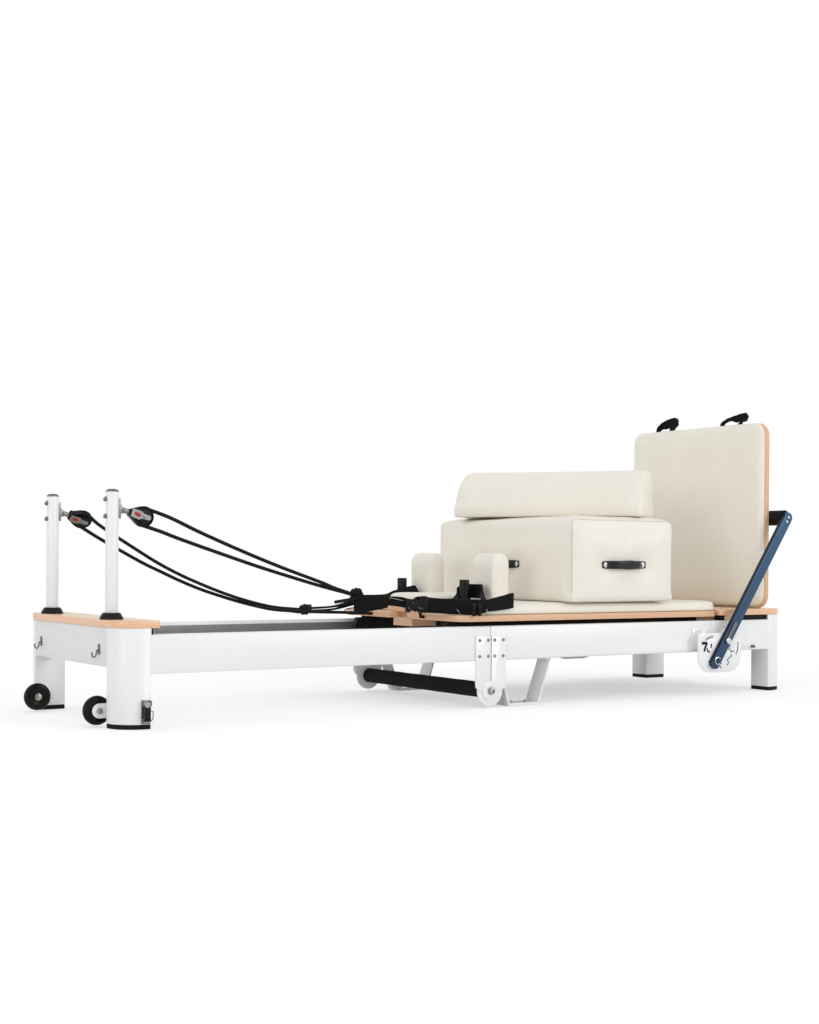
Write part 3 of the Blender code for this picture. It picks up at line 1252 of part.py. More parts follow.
ROPE_END_Y = 0.145
ROPE_WRAP = {"near": (82, 267), "far": (76, 262)}
KNOT_PLACE = {"near": (HEAD_X + 0.700, 0.190, 0.336), "far": (HEAD_X + 0.748, 0.190, 0.283)}
ROPE_TOP = {
    "near": [(HEAD_X + 0.610, 0.194, 0.356), (HEAD_X + 0.480, 0.199, 0.397), (HEAD_X + 0.320, 0.205, 0.451),
             (HEAD_X + 0.190, 0.209, 0.508), (HEAD_X + 0.090, 0.2115, 0.5535)],
    "far": [(HEAD_X + 0.640, 0.190, 0.284), (HEAD_X + 0.500, 0.192, 0.316), (HEAD_X + 0.380, 0.196, 0.360),
            (HEAD_X + 0.240, 0.201, 0.425), (HEAD_X + 0.100, 0.205, 0.510)],
}
ROPE_LOW = {
    "near": [(HEAD_X + 0.090, 0.2120, 0.505), (HEAD_X + 0.240, 0.207, 0.453), (HEAD_X + 0.400, 0.201, 0.405),
             (HEAD_X + 0.540, 0.192, 0.371), (HEAD_X + 0.640, 0.176, 0.342), (HEAD_X + 0.720, 0.160, 0.314),
             (HEAD_X + 0.850, 0.149, 0.281), (HEAD_X + 0.930, 0.146, 0.264)],
    "far": [(HEAD_X + 0.100, 0.228, 0.475), (HEAD_X + 0.220, 0.225, 0.410), (HEAD_X + 0.380, 0.214, 0.345),
            (HEAD_X + 0.540, 0.199, 0.291), (HEAD_X + 0.640, 0.172, 0.276), (HEAD_X + 0.740, 0.152, 0.270),
            (HEAD_X + 0.850, 0.146, 0.266), (HEAD_X + 0.930, 0.145, 0.2625)],
}
LOOP_PATH = {
    "near": [(0.750, 0.198, 0.323), (0.800, 0.204, 0.312), (0.870, 0.218, 0.303), (0.950, 0.248, 0.299),
             (1.005, 0.290, 0.298), (1.040, 0.324, 0.298), (1.080, 0.3345, 0.302), (1.120, 0.3345, 0.308),
             (1.152, 0.335, 0.316), (1.167, 0.323, 0.331), (1.154, 0.300, 0.333), (1.137, 0.262, 0.333),
             (1.130, 0.215, 0.338), (1.127, 0.180, 0.341), (1.118, 0.153, 0.341), (1.098, 0.143, 0.338),
             (1.060, 0.150, 0.333), (0.980, 0.168, 0.326), (0.880, 0.179, 0.322), (0.800, 0.184, 0.322), (0.750, 0.186, 0.323)],
    "far": [(0.800, 0.180, 0.2865), (0.850, 0.176, 0.288), (0.920, 0.168, 0.298), (0.985, 0.158, 0.314),
            (1.040, 0.150, 0.330), (1.093, 0.146, 0.339), (1.122, 0.150, 0.342), (1.134, 0.172, 0.343),
            (1.124, 0.196, 0.341), (1.090, 0.204, 0.336), (1.020, 0.206, 0.327), (0.940, 0.204, 0.310),
            (0.860, 0.199, 0.294), (0.800, 0.192, 0.2865)],
}
ROPE_TAIL = {"near": (-0.073, 0.018, -0.027), "far": (-0.090, 0.020, 0.003)}


def band(path, height, thick, name="band"):
    """A flat webbing band stood on edge along a closed path."""
    section = bpy.data.curves.new(name + "_section", "CURVE")
    section.dimensions = "2D"
    spline = section.splines.new("POLY")
    spline.points.add(3)
    spline.use_cyclic_u = True
    for point, (u, v) in zip(spline.points, round_rect(-thick / 2, thick / 2, -height / 2, height / 2)):
        point.co = (u, v, 0, 1)
    guide = link(section, name + "_section", CUTTERS)
    guide.hide_render = True
    made = tube(path, 0.0, name, closed=True)
    made.data.bevel_mode = "OBJECT"
    made.data.bevel_object = guide
    made.data.twist_mode = "Z_UP"
    return made


def hand_loops():
    """Each hand loop: its webbing band, the rope's knot at its tip and the rope's cut end."""
    for side, sign in SIDES:
        path = [Vector((HEAD_X + x, sign * y, z)) for x, y, z in LOOP_PATH[side]]
        tip = (path[0] + path[-1]) / 2 - Vector((WEB_TIP, 0, 0))
        web = band([tip] + smooth_route(path, 0.030), WEB_HEIGHT[side], WEB_THICK)
        knot = Vector(KNOT_PLACE[side])
        knot.y *= sign
        ball = rod(KNOT_RADIUS, 2 * KNOT_RADIUS, knot, "X", 12)
        neck = tube([knot, tip + Vector((WEB_TIP * 0.7, 0, 0))], 0.007, resolution=1)
        dx, dy, dz = ROPE_TAIL[side]
        start = knot + Vector((0, sign * 0.008, -0.009))
        tail = tube([start, knot + Vector((dx, sign * dy, dz))], ROPE_RADIUS, resolution=1)
        finish(join(web, ball, neck, tail), "hand_loop_" + side, WEBBING, "carriage")


def main():
    make_pivots()
    rails()
    head_legs()
    latch_lever()
    transport_wheels()
    head_end()
    posts()
    pulleys()
    hinge()
    support_feet()
    foot_end()
    footbar_plates()
    footbar()
    jump_board()
    carriage()
    headrest()
    shoulder_rests()
    sitting_box()
    bolster()
    ropes()
    hand_loops()


main()
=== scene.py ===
"""Looks for a folding pilates reformer: paint, ply, leather, webbing, ropes and small fittings on its frame.

Metres, +Z up. X runs from the pulley end to the foot end, Y across. Near is the -Y side.
The file is laid out as an add-on, and runs as a script: the frame comes first, then each group of pieces.
"""

import json
from math import acos, atan2, cos, degrees, pi, radians, sin, sqrt, tau

import bmesh
import bpy
import numpy as np
from mathutils import Matrix, Vector
from mathutils.bvhtree import BVHTree

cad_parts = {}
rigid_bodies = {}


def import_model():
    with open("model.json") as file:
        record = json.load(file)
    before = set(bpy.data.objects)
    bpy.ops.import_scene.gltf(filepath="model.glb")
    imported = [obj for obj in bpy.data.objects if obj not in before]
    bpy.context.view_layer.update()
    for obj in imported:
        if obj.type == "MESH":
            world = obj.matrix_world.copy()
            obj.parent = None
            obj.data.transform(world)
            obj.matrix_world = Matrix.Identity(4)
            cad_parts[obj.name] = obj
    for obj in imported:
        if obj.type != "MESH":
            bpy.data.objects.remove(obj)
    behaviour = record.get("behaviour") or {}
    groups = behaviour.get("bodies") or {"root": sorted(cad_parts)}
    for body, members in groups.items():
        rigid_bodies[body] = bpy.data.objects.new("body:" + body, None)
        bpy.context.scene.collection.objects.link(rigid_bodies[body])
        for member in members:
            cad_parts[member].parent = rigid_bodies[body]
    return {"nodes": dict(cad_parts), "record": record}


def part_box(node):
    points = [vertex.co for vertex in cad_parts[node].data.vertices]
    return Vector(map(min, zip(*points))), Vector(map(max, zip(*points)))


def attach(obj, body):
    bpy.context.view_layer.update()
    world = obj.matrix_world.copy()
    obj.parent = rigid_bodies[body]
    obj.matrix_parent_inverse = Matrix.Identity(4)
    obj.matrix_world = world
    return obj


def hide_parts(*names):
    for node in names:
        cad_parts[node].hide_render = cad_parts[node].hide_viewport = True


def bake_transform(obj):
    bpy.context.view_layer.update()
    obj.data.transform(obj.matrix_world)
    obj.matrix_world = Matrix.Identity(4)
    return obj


bl_info = {
    "name": "Folding Pilates Reformer",
    "version": (1, 0, 0),
    "blender": (4, 5, 0),
    "location": "View3D > Sidebar > Reformer",
    "description": "Dresses the frame of a folding pilates reformer with its finishes, padding and ropes",
    "category": "Add Mesh",
}

for leftover in list(bpy.data.objects):
    bpy.data.objects.remove(leftover, do_unlink=True)
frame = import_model()
RECORD = frame["record"]
BODY_OF = {node: body for body, nodes in RECORD["behaviour"]["bodies"].items() for node in nodes}
SIDES = (("near", -1), ("far", 1))

# Places that the frame gives
CLEAR = 0.0003
HEAD_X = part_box("head_rail_near")[0].x - CLEAR
SPLIT_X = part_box("head_rail_near")[1].x + 0.0005
HALF = 0.335
POST_X, POST_Y = -1.15315, 0.2125
BRACKET_Z = 0.606 - 0.045
RAIL_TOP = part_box("head_rail_near")[1].z
BOARD_LOW = 0.2525
BOARD_TOP = 0.2705
CARRIAGE_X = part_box("carriage_board")[0].x
CARRIAGE_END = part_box("carriage_pad")[1].x
PAD_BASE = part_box("carriage_pad")[0].z
PAD_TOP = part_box("carriage_pad")[1].z
SHOULDER_X, SHOULDER_Y, SHOULDER_TOP = CARRIAGE_X + 0.1945, 0.1706, 0.456
LOOP_POST_X = CARRIAGE_X + 0.130
HEADREST_END = CARRIAGE_X + 0.269
BOX_X = CARRIAGE_X + 0.6095
BOX_LOW = PAD_TOP + CLEAR
HANDLE_HALF = 0.0765
BOX_SIZE = Vector((0.420, 0.698, 0.262))
JUMP_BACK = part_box("jump_pad")[1].x + 0.0183
JUMP_LOW = 0.2746
EYE = Vector((POST_X + 0.040, POST_Y, 0.554))
TILT = radians(16)
ROLL = {"near": 0.0, "far": radians(42)}
SHEAVE_REACH = 0.048
GROOVE = 0.0225
PIVOT_Z = 0.050
HINGE_FACE = HALF + CLEAR + 0.004
WHEEL_Z = 0.042
ACROSS = Matrix.Rotation(pi / 2, 4, "X")
FOOT_LEG_X = 1.14065
WHEEL_X = HEAD_X - 0.097
BOLSTER_LOW = BOX_LOW + BOX_SIZE.z + 0.006 + CLEAR
FOOTBAR = Vector((FOOT_LEG_X - 0.2838, 0.0, 0.112))
LEVER_TURN = radians(54.9)
LEVER_OUT = 0.3668
LEVER_THICK = 0.014


# Kinds of setting
def tint(name, description, default):
    return bpy.props.FloatVectorProperty(name=name, description=description, subtype="COLOR", size=3, min=0,
                                         max=1, default=default)


def distance(name, description, default, low, high):
    return bpy.props.FloatProperty(name=name, description=description, subtype="DISTANCE", default=default,
                                   min=low, max=high, precision=4)


def amount(name, description, default, high, low=0, **more):
    return bpy.props.FloatProperty(name=name, description=description, default=default, min=low, max=high,
                                   **more)


def turn_by(name, description, default):
    return bpy.props.FloatProperty(name=name, description=description, subtype="ANGLE", default=default)


class ReformerLooks(bpy.types.PropertyGroup):
    """Colours and textures of the finishes."""

    paint: tint("White paint", "Powder coat of the frame", (0.860, 0.872, 0.885))
    leather: tint("Leather", "Upholstery of every pad", (0.860, 0.820, 0.735))
    leather_shade: tint("Leather shade", "The darker tone of the leather's mottling", (0.770, 0.722, 0.635))
    grain: distance("Leather grain", "Width of one pebble of the leather's grain", 0.0013, 0.0003, 0.01)
    grain_depth: amount("Grain depth", "How strongly the leather's grain shows", 0.16, 1)
    ply_face: tint("Ply face", "Varnished face veneer", (0.860, 0.618, 0.395))
    ply_edge: tint("Ply edge", "Cut edge of the ply", (0.720, 0.440, 0.270))
    ply_layer: distance("Ply layer", "Thickness of two veneers in the ply's edge", 0.0036, 0.001, 0.01)
    lever: tint("Lever blue", "Metallic blue of the footbar levers", (0.030, 0.078, 0.150))
    webbing: tint("Webbing", "Straps, hand loops and ropes", (0.0055, 0.0055, 0.0060))
    steel: tint("Steel", "Zinc-plated fittings", (0.340, 0.340, 0.335))


class ReformerSizes(bpy.types.PropertyGroup):
    """Sizes of the padding and of the small fittings."""

    swell: distance("Swell", "The most that a pad's skin moves as it fills", 0.007, 0.0, 0.03)
    box_roll: distance("Box edge roll", "Radius of the sitting box's padded edges", 0.024, 0.005, 0.06)
    dimple: distance("Handle dimple", "How deep a handle's screws pull the leather in", 0.0105, 0.0, 0.02)
    rope: distance("Rope diameter", "Diameter of the braided ropes", 0.010, 0.006, 0.014)
    screw: distance("Screw head", "Radius of the hinge plates' screw heads", 0.0048, 0.002, 0.008)
    spring_wire: distance("Spring wire", "Wire thickness of the carriage springs", 0.0022, 0.001, 0.004)
    spring_pitch: distance("Spring pitch", "Distance between two turns of a spring", 0.0046, 0.002, 0.02)


class ReformerStage(bpy.types.PropertyGroup):
    """Light, floor and camera."""

    sky: amount("Sky light", "Strength of the even light from all sides", 0.83, 3)
    sun: amount("Key light", "Strength of the soft key light", 0.66, 5)
    fill: amount("Fill light", "Strength of the weak light from the pulley end", 0.55, 5)
    shadow: amount("Shadow depth", "How strongly the floor shows the object's shadow", 0.55, 1,
                   subtype="FACTOR")
    eye: bpy.props.FloatVectorProperty(
        name="Camera place", description="Where the camera stands", subtype="TRANSLATION", unit="LENGTH",
        size=3, default=(-2.67590, -3.86521, 0.44157))
    heading: turn_by("Camera heading", "Turn of the camera from +Y towards +X", 0.5901784)
    roll: turn_by("Camera roll", "Small tilt of the picture", 0.0069061)
    lens: amount("Lens", "Focal length for a 36 mm long side", 52.930, 300, 10)
    rise: amount("Lens rise", "Upward shift of the picture", 0.04348, 0.5, -0.5)


# Making and placing meshes
def named(data, name):
    thing = bpy.data.objects.new(name, data)
    bpy.context.scene.collection.objects.link(thing)
    return thing


def set_up(thing, **values):
    for key, value in values.items():
        setattr(thing, key, value)
    return thing


def smooth_shaded(mesh, sharp=40):
    mesh.shade_smooth()
    mesh.set_sharp_from_angle(angle=radians(sharp))
    return mesh


def from_bm(bm, name, sharp=40):
    mesh = bpy.data.meshes.new(name)
    bm.to_mesh(mesh)
    bm.free()
    return named(smooth_shaded(mesh, sharp), name)


def baked(thing, sharp=None):
    """The piece as a plain mesh at the origin, its modifiers, curve and place worked in."""
    bpy.context.view_layer.update()
    graph = bpy.context.evaluated_depsgraph_get()
    mesh = bpy.data.meshes.new_from_object(
        thing.evaluated_get(graph), preserve_all_data_layers=True, depsgraph=graph)
    mesh.transform(thing.matrix_world)
    name = thing.name
    bpy.data.objects.remove(thing, do_unlink=True)
    made = named(mesh, name)
    made.name = name
    if sharp is not None:
        smooth_shaded(mesh, sharp)
    return made


def declared(thing, name, look, place, replaces=()):
    """Names a piece, gives it its finish, sets it in place and hides the CAD parts that it replaces."""
    thing.name = name
    thing.data.name = name
    thing.data.materials.clear()
    thing.data.materials.append(look)
    place(thing)
    if replaces:
        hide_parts(*replaces)
    return thing


def finished(thing, name, body, look, replaces=()):
    """A piece that rides on one body."""
    return declared(thing, name, look, lambda piece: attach(piece, body), replaces)


def joined(things, name):
    """Several meshes as one object, their places worked in."""
    bm = bmesh.new()
    bm.loops.layers.uv.new("surface")
    for thing in things:
        copy = thing.data.copy()
        copy.transform(thing.matrix_world)
        bm.from_mesh(copy)
        bpy.data.objects.remove(thing, do_unlink=True)
    return from_bm(bm, name)


def turned(profile, name="turned", steps=48, matrix=None, closed=False, sharp=40):
    """A turned piece about Z from (radius, height) points; closed joins the last point to the first."""
    bm = bmesh.new()
    rings = []
    for r, h in profile:
        if r < 1e-6:
            rings.append([bm.verts.new((0, 0, h))])
        else:
            rings.append([bm.verts.new((r * cos(tau * i / steps), r * sin(tau * i / steps), h))
                          for i in range(steps)])
    pairs = list(zip(rings, rings[1:])) + ([(rings[-1], rings[0])] if closed else [])
    for a, b in pairs:
        for i in range(steps):
            j = (i + 1) % steps
            if len(a) == 1 and len(b) == 1:
                continue
            if len(a) == 1:
                bm.faces.new((a[0], b[i], b[j]))
            elif len(b) == 1:
                bm.faces.new((a[i], a[j], b[0]))
            else:
                bm.faces.new((a[i], a[j], b[j], b[i]))
    bmesh.ops.recalc_face_normals(bm, faces=bm.faces)
    if matrix is not None:
        bm.transform(matrix)
    return from_bm(bm, name, sharp)


def bar(low, high, soften=0.001, name="bar"):
    """A milled bar between two corners, its edges broken."""
    bm = bmesh.new()
    bmesh.ops.create_cube(bm, size=1.0)
    size = Vector(high) - Vector(low)
    bmesh.ops.scale(bm, vec=size, verts=bm.verts)
    bmesh.ops.translate(bm, vec=(Vector(high) + Vector(low)) / 2, verts=bm.verts)
    if soften:
        bmesh.ops.bevel(bm, geom=bm.edges, offset=min(soften, min(size) * 0.45), segments=3, profile=0.5,
                        affect="EDGES", clamp_overlap=True)
    return from_bm(bm, name, 30)


def arc(cx, cy, radius, start, end, steps=8):
    return [(cx + radius * cos(radians(start + (end - start) * i / steps)),
             cy + radius * sin(radians(start + (end - start) * i / steps))) for i in range(steps + 1)]


def round_rect(x0, x1, y0, y1, radii, steps=8):
    """A rectangle with rounded corners, counter-clockwise from the lower left; radii run the same way."""
    corners = ((x0, y0, 1, 1, 180), (x1, y0, -1, 1, 270), (x1, y1, -1, -1, 0), (x0, y1, 1, -1, 90))
    points = []
    for (x, y, sx, sy, start), radius in zip(corners, radii):
        r = max(radius, 0.0008)
        points += arc(x + sx * r, y + sy * r, r, start, start + 90, steps)
    return points


def to_plane(plane, u, v, w):
    return {"XY": (u, v, w), "XZ": (u, w, v), "YZ": (w, u, v)}[plane]


def layered(shape, plane, rings, name="layered", sharp=60):
    """A closed solid through outlines: each ring is how far the shape is drawn in, and its level."""
    bm = bmesh.new()
    loops = [[bm.verts.new(to_plane(plane, u, v, level)) for u, v in shape(inset)] for inset, level in rings]
    for lower, upper in zip(loops, loops[1:]):
        for i in range(len(lower)):
            j = (i + 1) % len(lower)
            bm.faces.new((lower[i], lower[j], upper[j], upper[i]))
    bm.faces.new(loops[0][::-1])
    bm.faces.new(loops[-1])
    bmesh.ops.recalc_face_normals(bm, faces=bm.faces)
    return from_bm(bm, name, sharp)


def rolled(low, high, roll, steps=5, roll_low=None):
    """Rings for a slab whose two faces end in quarter rolls."""
    first = roll if roll_low is None else roll_low
    way = 1 if high > low else -1
    rings = []
    for i in range(steps + 1):
        a = pi / 2 * i / steps
        rings.append((first * (1 - sin(a)), low + way * first * (1 - cos(a))))
    for i in range(steps + 1):
        a = pi / 2 * i / steps
        rings.append((roll * (1 - cos(a)), high - way * roll * (1 - sin(a))))
    return rings


def smooth_route(places, spacing):
    """Evenly spaced points on a smooth curve through a route's own points."""
    nodes = [Vector(p) for p in places]
    nodes = [nodes[0] * 2 - nodes[1]] + nodes + [nodes[-1] * 2 - nodes[-2]]
    fine = []
    for a, b, c, d in zip(nodes, nodes[1:], nodes[2:], nodes[3:]):
        for k in range(24):
            t = k / 24
            fine.append(((b * 2) + (c - a) * t + (a * 2 - b * 5 + c * 4 - d) * t * t
                         + (b * 3 - a - c * 3 + d) * t ** 3) / 2)
    fine.append(nodes[-2])
    total = sum((q - p).length for p, q in zip(fine, fine[1:]))
    count = max(2, round(total / spacing))
    points = [fine[0]]
    walked = 0.0
    for p, q in zip(fine, fine[1:]):
        step = (q - p).length
        while len(points) < count and walked + step >= total * len(points) / count:
            points.append(p.lerp(q, (total * len(points) / count - walked) / step))
        walked += step
    points.append(fine[-1])
    return points


def frames_along(points, up=None):
    """Tangent, side and rise at each point: carried along without twist, or held to an up direction."""
    frames = []
    rise = None
    for i in range(len(points)):
        tangent = (points[min(i + 1, len(points) - 1)] - points[max(i - 1, 0)]).normalized()
        if up is not None:
            side = tangent.cross(Vector(up)).normalized()
            rise = side.cross(tangent).normalized()
        else:
            if rise is None:
                rise = Vector((0, 0, 1)) if abs(tangent.z) < 0.9 else Vector((1, 0, 0))
            rise = (rise - tangent * rise.dot(tangent)).normalized()
            side = tangent.cross(rise)
        frames.append((tangent, side, rise))
    return frames


def loft(sections, name):
    """A skin through rings of points, closed at both ends; its UV map holds metres along and round it."""
    n, m = len(sections), len(sections[0])
    centres = [sum(ring, Vector()) / m for ring in sections]
    along = [0.0]
    for a, b in zip(centres, centres[1:]):
        along.append(along[-1] + (b - a).length)
    middle = sections[n // 2]
    round_it = [0.0]
    for a, b in zip(middle, middle[1:] + middle[:1]):
        round_it.append(round_it[-1] + (b - a).length)
    verts = [p for ring in sections for p in ring]
    faces, uvs = [], []
    for i in range(n - 1):
        for j in range(m):
            q = (j + 1) % m
            faces.append((i * m + j, i * m + q, (i + 1) * m + q, (i + 1) * m + j))
            uvs += [(along[i], round_it[j]), (along[i], round_it[j + 1]),
                    (along[i + 1], round_it[j + 1]), (along[i + 1], round_it[j])]
    faces.append(tuple(reversed(range(m))))
    uvs += [(round_it[j] * 0.3, round_it[j]) for j in reversed(range(m))]
    faces.append(tuple((n - 1) * m + j for j in range(m)))
    uvs += [(round_it[j] * 0.3, round_it[j]) for j in range(m)]
    mesh = bpy.data.meshes.new(name)
    mesh.from_pydata(verts, [], faces)
    layer = mesh.uv_layers.new(name="surface")
    layer.data.foreach_set("uv", np.array(uvs, np.float32).ravel())
    volume = sum(a.dot(b.cross(c)) for f in faces for a, b, c in
                 [(verts[f[0]], verts[f[k]], verts[f[k + 1]]) for k in range(1, len(f) - 1)])
    if volume < 0:
        mesh.flip_normals()
    return named(smooth_shaded(mesh, 50), name)


def share_value(value, share):
    """A plain number, or one read between (share, value) stops."""
    if not isinstance(value, (list, tuple)):
        return value
    for (s0, v0), (s1, v1) in zip(value, value[1:]):
        if share <= s1:
            t = (share - s0) / (s1 - s0) if s1 > s0 else 0
            t = min(max(t, 0), 1)
            return v0 + (v1 - v0) * t * t * (3 - 2 * t)
    return value[-1][1]


def round_tube(points, radius, name, sides=12):
    """A round rope, wire or sleeve along points, its ends rounded over."""
    frames = frames_along(points)
    sections = []
    count = len(points) - 1
    for i, (p, (_, side, rise)) in enumerate(zip(points, frames)):
        r = share_value(radius, i / count)
        sections.append([p + side * (r * cos(tau * k / sides)) + rise * (r * sin(tau * k / sides))
                         for k in range(sides)])

    def end(ring, centre, out, r):
        return [[centre + (q - centre) * scale + out * (r * move) for q in ring]
                for scale, move in ((0.35, 0.55), (0.75, 0.38), (0.94, 0.15))]

    first, last = share_value(radius, 0), share_value(radius, 1)
    sections = (end(sections[0], points[0], -frames[0][0], first) + sections
                + end(sections[-1], points[-1], frames[-1][0], last)[::-1])
    return loft(sections, name)


def ribbon(points, width, thick, name, up=(0, 0, 1), lean=0.0):
    """A flat band along points, its width held to the up direction and its edges rounded."""
    frames = frames_along(points, up)
    count = len(points) - 1
    sections = []
    for i, (p, (_, side, rise)) in enumerate(zip(points, frames)):
        share = i / count
        w, t = share_value(width, share) / 2, share_value(thick, share) / 2
        turn = share_value(lean, share)
        s, r = side * cos(turn) + rise * sin(turn), rise * cos(turn) - side * sin(turn)
        e = min(t, w) * 0.9
        outline = [(t, 0), (t, w * 0.5), (t, w - e), (t * 0.7, w - e * 0.3), (0, w), (-t * 0.7, w - e * 0.3),
                   (-t, w - e), (-t, w * 0.5), (-t, 0), (-t, -w * 0.5), (-t, e - w), (-t * 0.7, e * 0.3 - w),
                   (0, -w), (t * 0.7, e * 0.3 - w), (t, e - w), (t, -w * 0.5)]
        sections.append([p + s * a + r * b for a, b in outline])
    return loft(sections, name)


def stops(places, rows, columns):
    """For each column of the rows, its (share of the way, value) stops along their places."""
    walked = [0.0]
    for a, b in zip(places, places[1:]):
        walked.append(walked[-1] + (b - a).length)
    return [[(far / walked[-1], row[k]) for far, row in zip(walked, rows)] for k in columns]


def band(rows, sign, name):
    """A webbing band through rows of (x, y, z, width, thickness, lean), y counted outwards on its side."""
    places = [Vector((HEAD_X + row[0], sign * row[1], row[2])) for row in rows]
    width, thick, lean = stops(places, rows, (3, 4, 5))
    return ribbon(smooth_route(places, 0.004), width, thick, name, lean=lean)


def softened(node, look, edge=0.0006, picks=(), sharp=32):
    """A merged copy of a rigid CAD piece with its edges broken, shown in its place.

    Each pick is a test of a face's middle, the finish that those faces take, and at will their largest area.
    """
    mesh = frame["nodes"][node].data.copy()
    bm = bmesh.new()
    bm.from_mesh(mesh)
    bmesh.ops.remove_doubles(bm, verts=bm.verts, dist=3e-6)
    bmesh.ops.dissolve_degenerate(bm, edges=bm.edges, dist=1e-6)
    bmesh.ops.dissolve_limit(bm, angle_limit=radians(0.6), verts=bm.verts, edges=bm.edges)
    if edge:
        edges = [e for e in bm.edges if len(e.link_faces) == 2 and e.calc_face_angle(0) > radians(38)]
        shortest = min([e.calc_length() for e in edges] + [1.0])
        bmesh.ops.bevel(bm, geom=edges, offset=min(edge, max(shortest * 0.4, edge * 0.25)), segments=2,
                        profile=0.5, affect="EDGES", clamp_overlap=True)
    for face in bm.faces:
        face.material_index = 0
        middle = face.calc_center_median()
        for k, (test, _, *most) in enumerate(picks):
            if test(middle) and (not most or face.calc_area() < most[0]):
                face.material_index = k + 1
                break
    made = from_bm(bm, node + "_finish", sharp)
    kept = np.zeros(len(made.data.polygons), np.int32)
    made.data.polygons.foreach_get("material_index", kept)
    finished(made, made.name, BODY_OF[node], look, (node,))
    for pick in picks:
        made.data.materials.append(pick[1])
    made.data.polygons.foreach_set("material_index", kept)
    return made


# Padding
def coordinates(mesh):
    co = np.zeros(len(mesh.vertices) * 3)
    mesh.vertices.foreach_get("co", co)
    return co.reshape(-1, 3)


def set_coordinates(mesh, co):
    mesh.vertices.foreach_set("co", np.ascontiguousarray(co, np.float64).ravel())
    mesh.update()


def swollen(thing, voxel, cap, held, pressure=4.0, inside=None, easing=5, frames=20):
    """Remeshes a closed form, lets it fill like a stuffed cover, and caps how far its skin moves."""
    set_up(thing.modifiers.new("even skin", "REMESH"), mode="VOXEL", voxel_size=voxel)
    set_up(thing.modifiers.new("eased", "SMOOTH"), factor=0.5, iterations=easing)
    thing = baked(thing)
    rest = coordinates(thing.data)
    fixed = np.array([held(Vector(p)) for p in rest])
    if cap > 0:
        group = thing.vertex_groups.new(name="held")
        group.add([int(i) for i in np.nonzero(fixed)[0]], 1.0, "REPLACE")
        cloth = thing.modifiers.new("filling", "CLOTH")
        set_up(cloth.settings, quality=4, mass=0.3, tension_stiffness=12, compression_stiffness=12,
               shear_stiffness=5, bending_stiffness=0.6, use_pressure=True, uniform_pressure_force=pressure,
               vertex_group_mass="held")
        cloth.settings.effector_weights.gravity = 0
        set_up(cloth.collision_settings, use_collision=False, use_self_collision=False)
        set_up(cloth.point_cache, frame_start=1, frame_end=frames)
        scene = bpy.context.scene
        for step in range(1, frames + 1):
            scene.frame_set(step)
        graph = bpy.context.evaluated_depsgraph_get()
        after = coordinates(thing.evaluated_get(graph).data)
        thing.modifiers.remove(cloth)
        thing.vertex_groups.clear()
        scene.frame_set(1)
        move = after - rest
        size = np.maximum(np.linalg.norm(move, axis=1), 1e-9)
        if not np.isfinite(size).all():
            raise RuntimeError(thing.name + ": the cushion's simulation failed")
        move *= (cap * (1 - np.exp(-size / cap)) / size)[:, None]
        rest = rest + move
    if inside:
        rest = np.clip(rest, np.array(inside[0]), np.array(inside[1]))
    set_coordinates(thing.data, rest)
    set_up(thing.modifiers.new("finer", "SUBSURF"), levels=1, render_levels=1)
    return baked(thing, 60)


def pressed(thing, places):
    """Pushes the skin in round points: each is (point, direction, radius, depth)."""
    co = coordinates(thing.data)
    for point, direction, radius, depth in places:
        away = np.linalg.norm(co - np.array(point), axis=1)
        share = np.exp(-(away / radius) ** 2) * depth
        co += share[:, None] * np.array(direction)
    set_coordinates(thing.data, co)
    return thing


def skin_of(host):
    return BVHTree.FromPolygons([v.co for v in host.data.vertices], [p.vertices for p in host.data.polygons])


def seam_on(host, points, name, radius):
    """A closed piped seam that follows the skin of a pad, half sunk in it."""
    tree = skin_of(host)
    route = []
    for p in points:
        place, normal, _, _ = tree.find_nearest(Vector(p))
        route.append(place - normal * radius * 0.25)
    for _ in range(3):
        count = len(route)
        route = [(route[i - 1] + route[i] * 2 + route[(i + 1) % count]) / 4 for i in range(count)]
    curve = set_up(bpy.data.curves.new(name, "CURVE"), dimensions="3D", bevel_depth=radius,
                   bevel_resolution=2, use_fill_caps=False)
    spline = curve.splines.new("POLY")
    spline.points.add(len(route) - 1)
    spline.use_cyclic_u = True
    for point, place in zip(spline.points, route):
        point.co = (*place, 1)
    return baked(named(curve, name), 60)


# Finishes
class Nodes:
    """Short calls that add nodes to a tree and wire them; a kind without Node in it is a shader node's."""

    def __init__(self, tree):
        self.tree = tree

    def add(self, kind, inputs=None, **settings):
        node = set_up(self.tree.nodes.new(kind if "Node" in kind else "ShaderNode" + kind), **settings)
        for key, value in (inputs or {}).items():
            self.put(node.inputs[key], value)
        return node

    def put(self, socket, value):
        if isinstance(value, bpy.types.NodeSocket):
            self.tree.links.new(value, socket)
        else:
            socket.default_value = value


